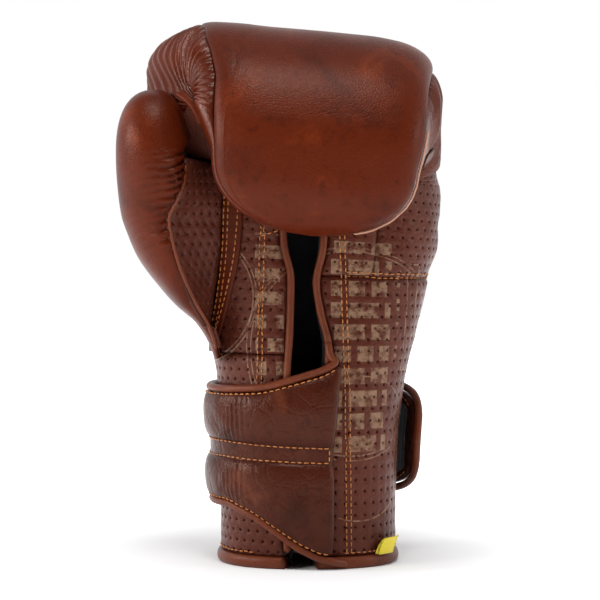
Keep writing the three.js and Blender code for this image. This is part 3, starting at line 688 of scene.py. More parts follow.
def leather(name, base, dark, light, roughness=0.42, mottle=0.5, grain=0.35, crease=0.0, coat=0.1,
            printed=None, specular=0.5):
    """Waxed pull-up leather: cloudy colour, pores, fine creases, and darker seams."""
    material, tree, shader, where = start_material(name)
    link = tree.links.new
    cloud = noise_node(tree, where, 26, 5, 0.6, 0.6)
    speck = noise_node(tree, where, 190, 4, 0.7)
    fine = noise_node(tree, where, 900, 3, 0.6)
    colour = mix_colour(tree, times(tree, ramp(tree, cloud, 0.5, 0.72), mottle), base, dark)
    colour = mix_colour(tree, times(tree, ramp(tree, cloud, 0.46, 0.3), mottle), colour, light)
    colour = mix_colour(tree, times(tree, ramp(tree, speck, 0.52, 0.72), mottle * 0.7),
                        colour, dark)
    seam = node(tree, "ShaderNodeAttribute", attribute_name="seam").outputs["Fac"]
    colour = mix_colour(tree, times(tree, seam, 0.45), colour, dark)
    if printed:
        mask = printed(tree, speck)
        colour = mix_colour(tree, mask, colour, (0.25, 0.15, 0.093))
    link(colour, shader.inputs["Base Color"])
    pores = node(tree, "ShaderNodeTexVoronoi", Scale=620.0)
    pores.feature = "DISTANCE_TO_EDGE"
    link(where, pores.inputs["Vector"])
    height = times(tree, ramp(tree, pores.outputs["Distance"], 0.0, 0.32), grain)
    height = math_node(tree, "ADD", height, times(tree, fine, grain * 0.5))
    if crease:
        lines = node(tree, "ShaderNodeTexVoronoi", Scale=95.0)
        lines.feature = "DISTANCE_TO_EDGE"
        warp = node(tree, "ShaderNodeVectorMath")
        warp.operation = "MULTIPLY_ADD"
        drift = node(tree, "ShaderNodeTexNoise", Scale=60.0, Detail=3.0)
        link(where, drift.inputs["Vector"])
        link(drift.outputs["Color"], warp.inputs[0])
        warp.inputs[1].default_value = (0.012, 0.012, 0.012)
        link(where, warp.inputs[2])
        link(warp.outputs[0], lines.inputs["Vector"])
        height = math_node(tree, "ADD", height,
                           times(tree, ramp(tree, lines.outputs["Distance"], 0.0, 0.12), crease))
    add_bump(tree, shader, height, 0.55, 0.00035)
    rough = math_node(tree, "ADD", roughness - 0.07, times(tree, cloud, 0.14))
    link(rough, shader.inputs["Roughness"])
    shader.inputs["Specular IOR Level"].default_value = specular
    shader.inputs["Specular Tint"].default_value = (1.0, 0.7, 0.58, 1.0)
    shader.inputs["Coat Weight"].default_value = coat
    shader.inputs["Coat Roughness"].default_value = 0.3
    return material


def thread_material():
    material, tree, shader, where = start_material("orange_thread")
    twist = node(tree, "ShaderNodeTexWave", Scale=420.0, Distortion=1.5)
    twist.bands_direction = "DIAGONAL"
    tree.links.new(where, twist.inputs["Vector"])
    colour = mix_colour(tree, noise_node(tree, where, 120), (0.62, 0.22, 0.045), (0.33, 0.1, 0.02))
    tree.links.new(colour, shader.inputs["Base Color"])
    add_bump(tree, shader, twist.outputs["Fac"], 0.6, 0.0002)
    shader.inputs["Roughness"].default_value = 0.38
    return material


def cloth_material(name, colour, other, scale, roughness=0.9, sheen=0.0):
    material, tree, shader, where = start_material(name)
    weave = node(tree, "ShaderNodeTexWave", Scale=scale)
    weave.bands_direction = "Z"
    cross = node(tree, "ShaderNodeTexWave", Scale=scale)
    cross.bands_direction = "X"
    for n in (weave, cross):
        tree.links.new(where, n.inputs["Vector"])
    height = times(tree, weave.outputs["Fac"], cross.outputs["Fac"])
    patch = noise_node(tree, where, 60)
    tree.links.new(mix_colour(tree, times(tree, height, patch), colour, other),
                   shader.inputs["Base Color"])
    add_bump(tree, shader, height, 0.7, 0.0003)
    shader.inputs["Roughness"].default_value = roughness
    shader.inputs["Sheen Weight"].default_value = sheen
    return material


def foam_material():
    material, tree, shader, where = start_material("padding_foam")
    cells = node(tree, "ShaderNodeTexVoronoi", Scale=700.0)
    tree.links.new(where, cells.inputs["Vector"])
    tree.links.new(mix_colour(tree, cells.outputs["Distance"], (0.03, 0.03, 0.033), (0.1, 0.1, 0.105)),
                   shader.inputs["Base Color"])
    add_bump(tree, shader, cells.outputs["Distance"], 0.8, 0.0004)
    shader.inputs["Roughness"].default_value = 0.95
    return material


def print_mask(tree, speck):
    """Worn tan blocks, bars and arcs, from the panel's own coordinates."""
    link = tree.links.new
    uv = node(tree, "ShaderNodeUVMap", uv_map="print").outputs["UV"]
    split = node(tree, "ShaderNodeSeparateXYZ")
    link(uv, split.inputs[0])
    x = times(tree, split.outputs["X"], 100)
    z = times(tree, split.outputs["Y"], 100)

    def inside(value, low, high):
        return times(tree, math_node(tree, "GREATER_THAN", value, low),
                         math_node(tree, "LESS_THAN", value, high))

    def area(x0, x1, z0, z1):
        return times(tree, inside(x, x0, x1), inside(z, z0, z1))

    def bricks(width, height, mortar, offset):
        b = node(tree, "ShaderNodeTexBrick")
        b.offset, b.squash, b.squash_frequency = offset, 0.62, 3
        b.inputs["Scale"].default_value = 1.0
        b.inputs["Brick Width"].default_value = width
        b.inputs["Row Height"].default_value = height
        b.inputs["Mortar Size"].default_value = mortar
        b.inputs["Mortar Smooth"].default_value = 0.15
        join = node(tree, "ShaderNodeCombineXYZ")
        link(x, join.inputs[0])
        link(z, join.inputs[1])
        link(join.outputs[0], b.inputs["Vector"])
        return math_node(tree, "SUBTRACT", 1.0, b.outputs["Fac"])

    blocks = bricks(21.0, 12.5, 2.0, 0.38)
    right = times(tree, blocks, area(13, 47.5, 62, 184))
    left = times(tree, bricks(40.0, 13.0, 3.0, 0.5), area(-29, -13, 98, 186))
    dashes = times(tree, bricks(4.2, 4.6, 1.15, 0.0), area(51.5, 55.6, 112, 168))
    frame_line = math_node(tree, "SUBTRACT", area(59, 68, 108, 172), area(59.7, 67.3, 108.7, 171.3))
    flat = node(tree, "ShaderNodeCombineXYZ")
    link(x, flat.inputs[0])
    link(z, flat.inputs[1])

    def ring(cx, cz, radius, width=0.35):
        d = node(tree, "ShaderNodeVectorMath")
        d.operation = "DISTANCE"
        link(flat.outputs[0], d.inputs[0])
        d.inputs[1].default_value = (cx, cz, 0)
        return inside(d.outputs["Value"], radius - width, radius + width)

    mask = right
    for other in (left, dashes, frame_line, ring(26, 120, 58), ring(26, 120, 60.5), ring(30, 66, 40),
                  ring(-64, 150, 34), ring(-64, 150, 36)):
        mask = math_node(tree, "MAXIMUM", mask, other)
    worn = ramp(tree, speck, 0.66, 0.4)
    return math_node(tree, "MULTIPLY", times(tree, mask, worn), 0.85, clamp=True)


BROWN = dict(base=(0.082, 0.0105, 0.0022), dark=(0.026, 0.0028, 0.0008), light=(0.165, 0.026, 0.0055))
DUSKY = dict(base=(0.082, 0.019, 0.011), dark=(0.034, 0.007, 0.004), light=(0.125, 0.035, 0.021))
STRAP = dict(base=(0.055, 0.0105, 0.0045), dark=(0.02, 0.003, 0.0014), light=(0.11, 0.028, 0.0135))
PIPE = dict(base=(0.12, 0.026, 0.01), dark=(0.05, 0.009, 0.0035), light=(0.18, 0.048, 0.02))
# Colours for the roll's side welt: pale, as a painted highlight along the seam's edge.
PAINTED_HIGHLIGHT_WELT = dict(base=(0.45, 0.22, 0.15), dark=(0.25, 0.1, 0.06), light=(0.6, 0.35, 0.26))
smooth_leather = leather("smooth_leather", **BROWN, roughness=0.36, mottle=0.6, coat=0.02, specular=0.15)
gusset_leather = leather("gusset_leather", **BROWN, roughness=0.3, crease=0.25, coat=0.08, specular=0.34)
punched_leather = leather("punched_leather", **DUSKY, roughness=0.34, crease=0.5, coat=0.04, specular=0.18,
                          printed=print_mask)
plain_punched = leather("plain_punched_leather", **DUSKY, roughness=0.36, crease=0.35, coat=0.04,
                        specular=0.2)
strap_leather = leather("strap_leather", **STRAP, roughness=0.28, mottle=0.9, crease=0.7, coat=0.04,
                        specular=0.18)
piping_leather = leather("piping_leather", **PIPE, roughness=0.36, grain=0.5, coat=0.05, specular=0.24)
welt_painted_highlight = leather("welt_painted_highlight", **PAINTED_HIGHLIGHT_WELT, roughness=0.45, grain=0.5)
thread = thread_material()
lining_cloth = cloth_material("lining_cloth", (0.004, 0.004, 0.007), (0.02, 0.022, 0.035), 300, 0.85)
hook_cloth = cloth_material("hook_cloth", (0.006, 0.006, 0.006), (0.05, 0.05, 0.05), 520, 0.95, 0.3)
label_cloth = cloth_material("label_cloth", (0.85, 0.68, 0.015), (0.95, 0.85, 0.06), 900, 0.3)
foam = foam_material()

# ------------------------------------------------------------ pieces that go across the joints: each only has its transform baked into its mesh, with no bending
def bend_outer(piece):
    """Bakes the transform of the leather that goes over the knuckles, and on down round the roll; it does not
    bend it.
    """
    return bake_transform(piece)


def bend_crease(piece):
    """Bakes the transform of the leather in the crease between the palm and the roll; it does not bend it."""
    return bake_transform(piece)


def bend_strap(piece):
    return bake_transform(piece)


def bend_tab(piece):
    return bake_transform(piece)


# ------------------------------------------------------------ outer shell and gussets
right_seam = profile((250, 22), (300, 14))
left_seam = profile((118, 158), (202, 158), (234, 130), (262, 110), (290, 108), (312, 114),
                    (330, 129), (345, 143),
                    (372, 161), (402, 166))
index_low = profile((250, 224), (300, 194))
little_low = profile((250, -62), (300, -14))
roll_tail = ROLL_START + ROLL_DROP * np.sin(np.linspace(0, np.pi / 2, 26))[1:]


def stations(first, step=2.4):
    straight = np.arange(first, ROLL_START, step if first < FOLD_Z else 1.6)
    return np.concatenate([straight[straight < ROLL_START - 1], [ROLL_START], roll_tail])


panel, s, deg = hand_panel(stations(HEM_TOP + 0.4), right_seam, left_seam, 96)
edge = np.minimum(panel.to_left, panel.to_right)
height = valley(edge, 2.2, 9) + 0.25 * noise(panel.u, panel.v, 22, 3) + 0.5 * noise(panel.u, panel.v, 60, 4)
side_pull = pucker(panel.to_left, panel.v, 7, 6.5, 0.5, 11) * smooth((s - 330) / 30)
height = height + side_pull + valley(panel.to_low, 1.2, 4)
seam = np.exp(-edge / 3)
bend_outer(slab_piece("outer_shell", panel, height, LEATHER, smooth_leather, seam=seam, **SKIN,
                      nodes=("back_leather", "roll_front_leather")))


def pleats(panel, s, top, wide, seed):
    """Gathers that fan out from the crease, deepest over the middle of the bend."""
    place = s + 1.6 * noise(panel.u, s, 14, seed) + 3.0 * noise(s, panel.u * 0, 30, seed + 3)
    phase = place / wide
    ridge = 1 - 2 * np.abs((phase % 1) - 0.5)
    ridge = smooth(ridge) * (0.75 + 0.25 * noise(np.floor(phase) * 7.0, panel.u, 20, seed + 5))
    return ridge * top


FOCUS = np.array([-60.5, -53.0, 256.0])  # where the gathers beside the thumb's tip come together
GATHER_SPREAD = 50.0  # degrees past the gusset's lower edge over which the crease leather is drawn along


def gather_shift(s, deg):
    """How far the skin between the knuckles and the crease is drawn towards the focus."""
    s, deg = np.broadcast_arrays(np.asarray(s, float), np.asarray(deg, float))
    low, high = left_seam(s), index_low(s)
    skin, edge = hand_depth(s, deg), hand_depth(s, low)
    share = np.clip((deg - low) / (high - low), 0, 1)
    window = smooth((s - 256) / 24) * smooth((392 - s) / 26)
    straight = 0.9 * smooth((s - 276) / 44) * smooth((392 - s) / 24)
    bulge = np.array([-5.0, -2.0, 3.0]) * np.sin(np.pi * share)[..., None]
    fan_line = edge + (FOCUS - edge) * share[..., None] + bulge
    drawn = skin + (FOCUS - skin) * (0.9 * smooth((share - 0.62) / 0.38) * window)[..., None]
    gusset = drawn + (fan_line - drawn) * straight[..., None]
    beyond = 1 - smooth((deg - high) / GATHER_SPREAD)
    crease = skin + (FOCUS - skin) * ((1 - (1 - 0.9 * window) * (1 - straight)) * beyond)[..., None]
    shift = np.where((deg <= high)[..., None], gusset, crease) - skin
    return shift * (deg > low)[..., None]


gusset_stations = np.concatenate([np.arange(190.4, 240, 2.0), np.arange(240, 376, 0.6), stations(376.0, 1.5)])
panel, s, deg = hand_panel(gusset_stations, left_seam, index_low, 56)
share = panel.u / panel.u[:, -1:]
pull = smooth((share - 0.62) / 0.38) * smooth((s - 256) / 24) * smooth((392 - s) / 26)
fan = smooth((s - 238) / 16) * smooth((372 - s) / 22)
height = pleats(panel, s, 2.6, 4.6, 21) * fan * (0.35 + 0.65 * smooth(share / 0.2)) * (1 - 0.7 * pull)
height = height - 1.0 * fan + valley(panel.to_left, 2.0, 6) + valley(panel.to_right, 1.2, 5) * (1 - pull)
seam = np.exp(-np.minimum(panel.to_left, panel.to_right) / 2.5)
panel = Panel(panel.grid + gather_shift(s, deg),
              unit(tube_point(CAVITY, np.minimum(s, POCKET_END), deg) - panel.grid))
bend_outer(slab_piece("index_gusset", panel, height, LEATHER, gusset_leather, seam=seam, **SKIN,
                      nodes=("index_side_leather", "roll_index_gusset")))

panel, s, deg = hand_panel(stations(236.4, 0.8), little_low, right_seam, 40)
fan = smooth((s - 236) / 10) * smooth((360 - s) / 26)
height = pleats(panel, s, 2.6, 4.6, 31) * fan * (0.4 + 0.6 * np.exp(-((panel.to_right - 10) / 16) ** 2))
height = height + 2.6 * fan * smooth(np.minimum(panel.to_left, panel.to_right) / 14) - 1.0
height = height + valley(panel.to_right, 2.0, 6) + valley(panel.to_left, 1.5, 6)
seam = np.exp(-np.minimum(panel.to_left, panel.to_right) / 2.5)
bend_outer(slab_piece("little_gusset", panel, height, LEATHER, gusset_leather, seam=seam, **SKIN,
                      nodes=("roll_little_gusset",)))

crease_stations = np.concatenate([np.arange(SLIT_TOP + 0.4, FOLD_Z, 2.0), np.arange(FOLD_Z, ROLL_START, 3.0),
                                  [ROLL_START], roll_tail])
panel, s, deg = hand_panel(crease_stations, index_low, lambda s: TURN + little_low(s), 90)
panel = Panel(panel.grid + gather_shift(s, deg), inward(s, deg))
height = np.where(s > ROLL_START, valley(np.minimum(panel.to_left, panel.to_right), 1.5, 6), -0.2)
seam = np.exp(-np.minimum(panel.to_left, panel.to_right) / 3)
bend_crease(slab_piece("crease_leather", panel, height, 1.0, plain_punched, seam=seam, **SKIN,
                       nodes=("palm_top_leather", "roll_palm_leather")))

# ------------------------------------------------------------ palm and cuff panels, punched
ROOM = 1.9  # from a panel's edge to the middle of the slit's binding
PANEL_GAP = 0.4  # between two panels that meet at a seam


def thin_lift(amount, seed, full=0.0):
    """Thin leather over padding: low waves, and seams that sink a little."""

    def lift(a, s, near):
        wave = amount * (noise(a, s, 17, seed) + 0.6 * noise(a, s, 8, seed + 1))
        return wave + full * smooth(near / 22) + valley(np.maximum(near, 0), 1.1, 3.5) - 0.1

    return lift


band_left = profile((118, -54), (124, -54), (150, -50), (175, -47), (200, -46), (230, -45))
band_right = profile((118, -51), (122, -50), (150, -42), (175, -37), (200, -35), (230, -34))
slit_right_arc = lambda s: arc.of(palm_angle(s, slit_right_x(s) + ROOM), s)
slit_left_arc = lambda s: arc.of(palm_angle(s, slit_left_x(s) - ROOM), s)
under_band = lambda s: arc.of(np.minimum(224.0, palm_angle(s, band_right(s) - 5.0)), s)
palm_corner = lambda s: arc.of(298.0, s)
little_edge = lambda s: arc.of(382.0, s)
for name, low, high, start, end, lift, options in (
    ("heel", HEM_TOP, SIDE_SEAM, slit_right_arc, little_edge, thin_lift(0.35, 41),
     dict(pitch=(5.9, 6.6), stagger=False)),
    ("palm_heel", SIDE_SEAM, SLIT_TOP, slit_right_arc, palm_corner, thin_lift(0.5, 43), {}),
    ("little_side", SIDE_SEAM, 236.0, palm_corner, little_edge, thin_lift(0.6, 45, 2.4), {}),
    ("palm_thumb", CUFF_TOP, SLIT_TOP, under_band, slit_left_arc, thin_lift(0.5, 47), dict(anchor="end")),
    ("cuff_thumb", HEM_TOP, CUFF_TOP, lambda s: arc.of(158.0, s), slit_left_arc, thin_lift(0.3, 49),
     dict(anchor="end")),
):
    perforated(f"{name}_panel", low + PANEL_GAP, high, start, end, lift, punched_leather, body="hand",
               nodes=(f"{name}_leather",), slot="perforated_leather", **options)

panel, s, deg = hand_panel(np.linspace(CUFF_TOP + 0.4, 190, 37), 158.0, 184.0, 12)
slab_piece("thumb_back_panel", panel, valley(np.minimum(panel.to_left, panel.to_right), 1.2, 4), 1.6,
           smooth_leather, body="hand", nodes=("thumb_back_leather",), slot="leather")

# ------------------------------------------------------------ padding and linings
def layer_piece(name, s_values, start, end, columns, outer_at, inner_at, material, body, node_name, slot):
    s, deg = angle_grid(s_values, start, end, columns)
    piece = sandwich(name, outer_at(s, deg), inner_at(s, deg), material, weld=WELD, slot=slot,
                     nodes=(node_name,), body=body)
    return piece


FOAM_DEPTH = 5.0


def foam_outer(s, deg):
    """The padding's outer face, under the skin, and deeper where the skin is drawn in."""
    shift = gather_shift(s, np.mod(deg, TURN))
    drawn = smooth(np.linalg.norm(shift, axis=-1, keepdims=True) / 5)
    return hand_depth(s, deg, FOAM_DEPTH) + shift * (1 - 0.15 * drawn) + inward(s, deg) * 3.5 * drawn


foam_inner = lambda s, deg: cavity_height(s, deg, 2.2)
slit_right_deg = lambda s: palm_angle(s, slit_right_x(s) + ROOM + 0.6) - TURN
slit_left_deg = lambda s: palm_angle(s, slit_left_x(s) - ROOM - 0.6)
for name, s0, s1, start, end, columns in (
    ("back_foam", 7, SPLIT, 23, 157, 40),
    ("heel_foam", 7, SIDE_SEAM, slit_right_deg, 21, 30),
    ("little_side_foam", SIDE_SEAM + 1, SPLIT, -61, 21, 22),
    ("palm_heel_foam", SIDE_SEAM + 1, SLIT_TOP - 1, slit_right_deg, -63, 8),
    ("cuff_thumb_foam", 7, CUFF_TOP, 159, slit_left_deg, 26),
    ("palm_thumb_foam", CUFF_TOP + 1, SLIT_TOP - 1, 225, slit_left_deg, 14),
    ("thumb_back_foam", CUFF_TOP + 1, 189, 159, 183, 8),
    ("index_side_foam", 191, SPLIT, 159, 223, 18),
    ("grip_bar", SLIT_TOP + 1, SPLIT, 225, 297, 20),
):
    values = np.arange(s0, s1 - 1, 4.0).tolist() + [s1 - 1]
    layer_piece(f"pad_{name}", values, start, end, columns, foam_outer, foam_inner, foam, "hand", name,
                "foam")


def cup_piece(name, outside, inside, floor_shift, material, **options):
    """A closed cup from rings of points: over the outside to the tip, and back up the inside."""
    columns = outside.shape[1]
    rings = [*outside, np.repeat(inside[-1].mean(0)[None] + floor_shift, columns, 0), *inside[::-1]]
    points = np.concatenate(rings)
    rows = len(rings)
    faces = []
    for i in range(rows):
        for k in range(columns):
            a, b = i * columns + k, i * columns + (k + 1) % columns
            c, d = ((i + 1) % rows) * columns + (k + 1) % columns, ((i + 1) % rows) * columns + k
            faces.append((a, b, c, d))
    return mesh_piece(name, points, faces, material, weld=WELD, **options)


full = np.linspace(0, TURN, 72, endpoint=False)[None, :]
foam_stations = np.concatenate([np.arange(308, ROLL_START, 4), [ROLL_START], ROLL_START + (ROLL_DROP - 5)
                                * np.sin(np.linspace(0, np.pi / 2, 12))[1:]])[:, None]
pocket_stations = np.linspace(308, POCKET_END, 24)[:, None]
roll_pad = cup_piece("pad_finger_roll", foam_outer(foam_stations, full),
                     cavity_height(pocket_stations, full, 2.2), np.array([0, 0, -2.5]), foam, slot="foam",
                     nodes=("finger_foam",), body="fingers")
lining_stations = np.linspace(SPLIT + 1, POCKET_END, 30)[:, None]
cup_piece("finger_pocket_lining", cavity_height(lining_stations, full, 1.0),
          cavity_height(lining_stations, full, 0.0),
          np.array([0, 0, -0.4]), lining_cloth, slot="lining", nodes=("finger_lining",), body="fingers")


def lining_start(s):
    return np.where(s < SLIT_TOP, palm_angle(s, slit_right_x(s)) - TURN, palm_angle(s, -12.0) - TURN)


def lining_end(s):
    return np.where(s < SLIT_TOP, palm_angle(s, slit_left_x(s)), palm_angle(s, -12.5))


lining_rows = np.concatenate([np.arange(1.0, SLIT_TOP, 4), [SLIT_TOP - 0.2, SLIT_TOP + 0.2],
                              np.arange(SLIT_TOP + 4, SPLIT, 4)])
layer_piece("hand_lining_cloth", lining_rows, lining_start, lining_end, 110,
            lambda s, deg: cavity_height(s, deg, 1.0), lambda s, deg: cavity_height(s, deg, 0.0),
            lining_cloth, "hand", "hand_lining", "lining")

# ------------------------------------------------------------ the thumb
THUMB = {
    "left": profile((112, -51), (124, -55), (135, -62), (145, -73), (155, -82), (164, -89), (174, -95),
                    (184, -99), (195, -102.5), (209, -104.2), (226, -105), (266, -105)),
    "right": profile((112, -46), (129, -46), (160, -44), (189, -43), (205, -47), (220, -57), (232, -62.5),
                     (245, -64), (266, -64)),
    "front": profile((112, -30), (129, -40), (160, -51), (189, -57), (223, -63), (266, -63)),
    "back": profile((112, -8), (129, -1), (160, 2), (189, 0), (223, -7), (266, -8)),
}
thumb_seam = profile((112, 268), (190, 266), (205, 282), (218, 306), (230, 326), (244, 400), (266, 446))
THUMB_BACK = 88.0


def thumb_point(z, deg, depth=0.0):
    z, deg, depth = np.broadcast_arrays(np.asarray(z, float), np.radians(np.asarray(deg, float)),
                                        np.asarray(depth, float))
    cap = dome((z - (THUMB_TIP - THUMB_DOME)) / THUMB_DOME, 2.3)
    left, right = THUMB["left"](z), THUMB["right"](z)
    front, back = THUMB["front"](z), THUMB["back"](z)
    k = 2 / 2.25
    half_x = np.maximum(0.02, (right - left) / 2 * cap - depth)
    half_y = np.maximum(0.02, (back - front) / 2 * cap - depth)
    return np.stack([(left + right) / 2 + half_x * power(np.cos(deg), k),
                     (front + back) / 2 + half_y * power(np.sin(deg), k), np.minimum(z, THUMB_TIP - depth)], -1)


HAND_SKINS = ("outer_shell", "index_gusset", "palm_thumb_panel", "cuff_thumb_panel", "thumb_back_panel",
              "crease_leather")
SEARCH_REACH = 0.05  # metres


def clear_of_hand(points, sink):
    """Keeps the thumb's inner side on the hand's surface instead of inside it."""
    flat = points.reshape(-1, 3)
    out = flat.copy()
    for i, p in enumerate(world(flat)):
        best = nearest_hit(p, HAND_SKINS, SEARCH_REACH)
        if best is None:
            continue
        normal = np.array(best[1])
        gap = (p - np.array(best[0])) @ normal * 1000
        if gap < -sink:
            out[i] = np.array(best[0]) * 1000 - SHIFT - normal * sink
    height = flat[:, 2:]
    middle = (THUMB["left"](height) + THUMB["right"](height)) / 2
    share = smooth((212 - height) / 14) * smooth((flat[:, :1] - middle) / 8)
    return (flat + (out - flat) * share).reshape(points.shape)


def thumb_heights(first, last=0.05):
    straight = np.arange(first, THUMB_TIP - THUMB_DOME, 1.6)
    return np.concatenate([straight, THUMB_TIP - THUMB_DOME
                           + (THUMB_DOME - last) * np.sin(np.linspace(0, np.pi / 2, 34))])


def thumb_panel(heights, start, end, columns):
    z, deg = angle_grid(heights, start, end, columns)
    grid = thumb_point(z, deg)
    return Panel(grid, unit(thumb_point(z, deg, 8.0) - grid)), z, deg


panel, z, deg = thumb_panel(thumb_heights(115), THUMB_BACK, thumb_seam, 110)
near = panel.to_right
gather = smooth((z - 172) / 14) * smooth((236 - z) / 14)
height = valley(near, 2.6, 9) + valley(panel.to_left, 1.5, 6)
height = height + pucker(near, panel.v, 14, 5.2, 3.0, 61) * gather + 0.3 * noise(panel.u, panel.v, 20, 62)
seam = np.exp(-np.minimum(near, panel.to_left) / 3)
panel.grid = clear_of_hand(panel.lifted(height), 0.8) - panel.normal * height[..., None]
thumb_shell = slab_piece("thumb_shell", panel, height, LEATHER, smooth_leather, seam=seam, **SKIN,
                         nodes=("thumb_outer_leather",), body="thumb")

# The perforated web, from the thumb's seam across to the band over its root.
web_rows = np.linspace(121, 226, 60)


def web_ends(s):
    a = thumb_point(s, thumb_seam(s), 0.6)
    b = hand_depth(s, palm_angle(s, band_left(s)), -0.2)
    return a, b


def web_at(t, s):
    a, b = web_ends(s)
    t = np.asarray(t, float)[..., None]
    middle = (a + b) / 2 + np.array([0.0, 1.0, 0.0]) * (1 + 0.12 * np.linalg.norm(b - a, axis=-1, keepdims=True))
    return a * (1 - t) ** 2 + middle * 2 * t * (1 - t) + b * t**2


def web_length(s):
    a, b = web_ends(np.asarray(s, float))
    return np.linalg.norm(b - a, axis=-1)


def on_web(a, s):
    t = a / np.maximum(web_length(s), 0.5)
    e = 0.02
    du = web_at(t + e, s) - web_at(t - e, s)
    dv = web_at(t, s + 0.5) - web_at(t, s - 0.5)
    normal = unit(np.cross(du, dv))
    return web_at(t, s), normal * np.where(normal[..., 1:2] > 0, -1, 1)


def bend_web(piece):
    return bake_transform(piece)


bend_web(perforated("thumb_web", 121, 226, lambda s: s * 0, web_length, thin_lift(0.6, 71), plain_punched,
                    pitch=(5.8, 5.6), place=on_web, nodes=("thumb_inner_leather",), slot="perforated_leather"))
welt = web_rows[:-2]
tube_piece("thumb_seam_welt", thumb_point(welt, thumb_seam(welt), 1.0), 1.0, piping_leather, wobble=0.06,
           seed=72,
           slot="piping", nodes=("thumb_welt",), body="thumb")


def behind_web(points, gap):
    """Keeps the thumb's inside parts behind the web."""
    flat = points.reshape(-1, 3).copy()
    for i, p in enumerate(world(flat)):
        hit = surfaces["thumb_web"].ray_cast(Vector(p), Vector((0, 1, 0)), 0.08)
        if hit[0] is not None:
            flat[i, 1] = hit[0][1] * 1000 - SHIFT[1] + gap
        elif flat[i, 0] > -64 and flat[i, 2] < 226:
            flat[i, 1] = max(flat[i, 1], web_ends(flat[i, 2])[1][1] + gap + 3.0)
    return flat.reshape(points.shape)


columns = np.linspace(0, TURN, 60, endpoint=False)[None, :]
rows = np.concatenate([np.arange(120, 229, 4.0), 229.5 + 33.0 * np.sin(np.linspace(0, np.pi / 2, 10))])[:, None]
thumb_pad = cup_piece("pad_thumb", behind_web(clear_of_hand(thumb_point(rows, columns, 5.0), 5.0), 4.0),
                      behind_web(clear_of_hand(thumb_point(np.linspace(122, 233, 24)[:, None], columns, 10.6),
                                               10.0), 8.0),
                      np.array([0, 0, 2.0]), foam, slot="foam", nodes=("thumb_foam",), body="thumb")
rows = np.linspace(124, 232, 24)[:, None]
cup_piece("thumb_pocket_lining", behind_web(clear_of_hand(thumb_point(rows, columns, 11.2), 11.0), 9.0),
          behind_web(clear_of_hand(thumb_point(rows, columns, 12.4), 12.0), 10.0), np.array([0, 0, -0.4]),
          lining_cloth,
          slot="lining", nodes=("thumb_lining",), body="thumb")

# The short strap that holds the thumb's tip to the side of the roll.
line = np.linspace(0, 1, 24)[:, None, None]
wide = np.linspace(-2.6, 2.6, 9)[None, :, None]
lock_start, lock_end = np.array([-69.5, -55.0, 261.0]), np.array([-56.5, -60.5, 244.0])
lock_grid = lock_start + (lock_end - lock_start) * line + np.array([0.75, 0.0, 0.6]) * wide
lock_grid = lock_grid + np.array([1.6, -2.6, 1.4]) * np.sin(np.pi * line) * (1 - (wide / 6) ** 2)
lock_panel = Panel(lock_grid, np.broadcast_to(unit(np.array([-0.2, 0.95, -0.2])), lock_grid.shape))
slab_piece("thumb_lock_strap", lock_panel,
           valley(np.minimum(lock_panel.to_left, lock_panel.to_right), 0.8, 1.4),
           1.8, smooth_leather, slot="leather", nodes=("thumb_lock",), body="hand")

# ------------------------------------------------------------ the band, the slit, the hem and the label
def palm_panel(rows, left, right, columns):
    s = np.asarray(rows, float)[:, None]
    u = np.linspace(0, 1, columns)[None, :]
    deg = palm_angle(s, left(s) + (right(s) - left(s)) * u)
    s = np.broadcast_to(s, deg.shape)
    return Panel(hand_depth(s, deg), inward(s, deg)), s, deg


panel, s, deg = palm_panel(np.linspace(119, 216, 90), band_left, band_right, 22)
edge = np.minimum(panel.to_left, panel.to_right)
height = 2.0 + valley(edge, 1.2, 2.4) + 0.15 * noise(panel.u, panel.v, 12, 81)
slab_piece("thumb_band", panel, height, 1.9, smooth_leather, seam=np.exp(-edge / 1.5), **SKIN,
           nodes=("thumb_root_band",), body="hand")

for name, edge_x, first, count, seed in (("thumb_side", slit_left_x, 9, 70, 82),
                                         ("heel_side", slit_right_x, 112, 50, 83)):
    rows = np.linspace(first, SLIT_TOP - 3, count)
    tube_piece(f"slit_piping_{name}", hand_depth(rows, palm_angle(rows, edge_x(rows)), 0.6), BINDING_PIPE,
               piping_leather, wobble=0.05, seed=seed, slot="piping", nodes=(f"slit_binding_{name}",),
               body="hand")

hem_deg = np.linspace(palm_angle(3.0, slit_right_x(3.0) + 1.5) - TURN,
                      palm_angle(3.0, slit_left_x(3.0) - 1.5), 190)
turn_points = np.linspace(-0.5 * np.pi, 0.5 * np.pi, 9)
section = [(3.3 + 3.3 * np.sin(a), -2.1 * np.cos(a)) for a in turn_points]
rings = [hand_depth(s, hem_deg, d) for s, d in section]
rings += [cavity_height(s, hem_deg, 0.2) for s in (6.4, 4.5, 2.0, 0.05)]
rings = np.stack(rings, 1)
rings[:, 0, 2] = np.maximum(rings[:, 0, 2], 0.0)
per = rings.shape[1]
faces = wall_faces(len(rings), per)
faces.append(tuple(range(per)))
faces.append(tuple(range((len(rings) - 1) * per, len(rings) * per)))
mesh_piece("hem_piping", rings.reshape(-1, 3), faces, piping_leather, slot="piping", nodes=("hem_binding",),
           body="hand")

# A folded loop of ribbon, standing out of the hem.
fold = np.linspace(0, 1, 26)[:, None]
across = np.linspace(-3.8, 3.8, 7)[None, :]
ribbon_x = LABEL_X + 0.5 + across + 3.4 * np.minimum(fold, 1 - fold) * 2
rise = 7.0 + 8.5 * np.sin(np.pi * fold) ** 0.8 + 0 * across
ribbon = hand_depth(rise, palm_angle(rise, ribbon_x), -1.5 - 2.6 * fold - 1.4 * np.sin(np.pi * fold) + 0 * across)
ribbon_panel = Panel(ribbon, np.broadcast_to(np.array([-0.3, 0.95, 0.0]), ribbon.shape))
slab_piece("label_ribbon_loop", ribbon_panel, 0.0 * rise, 0.35, label_cloth, slot="label", nodes=("label",),
           body="hand")

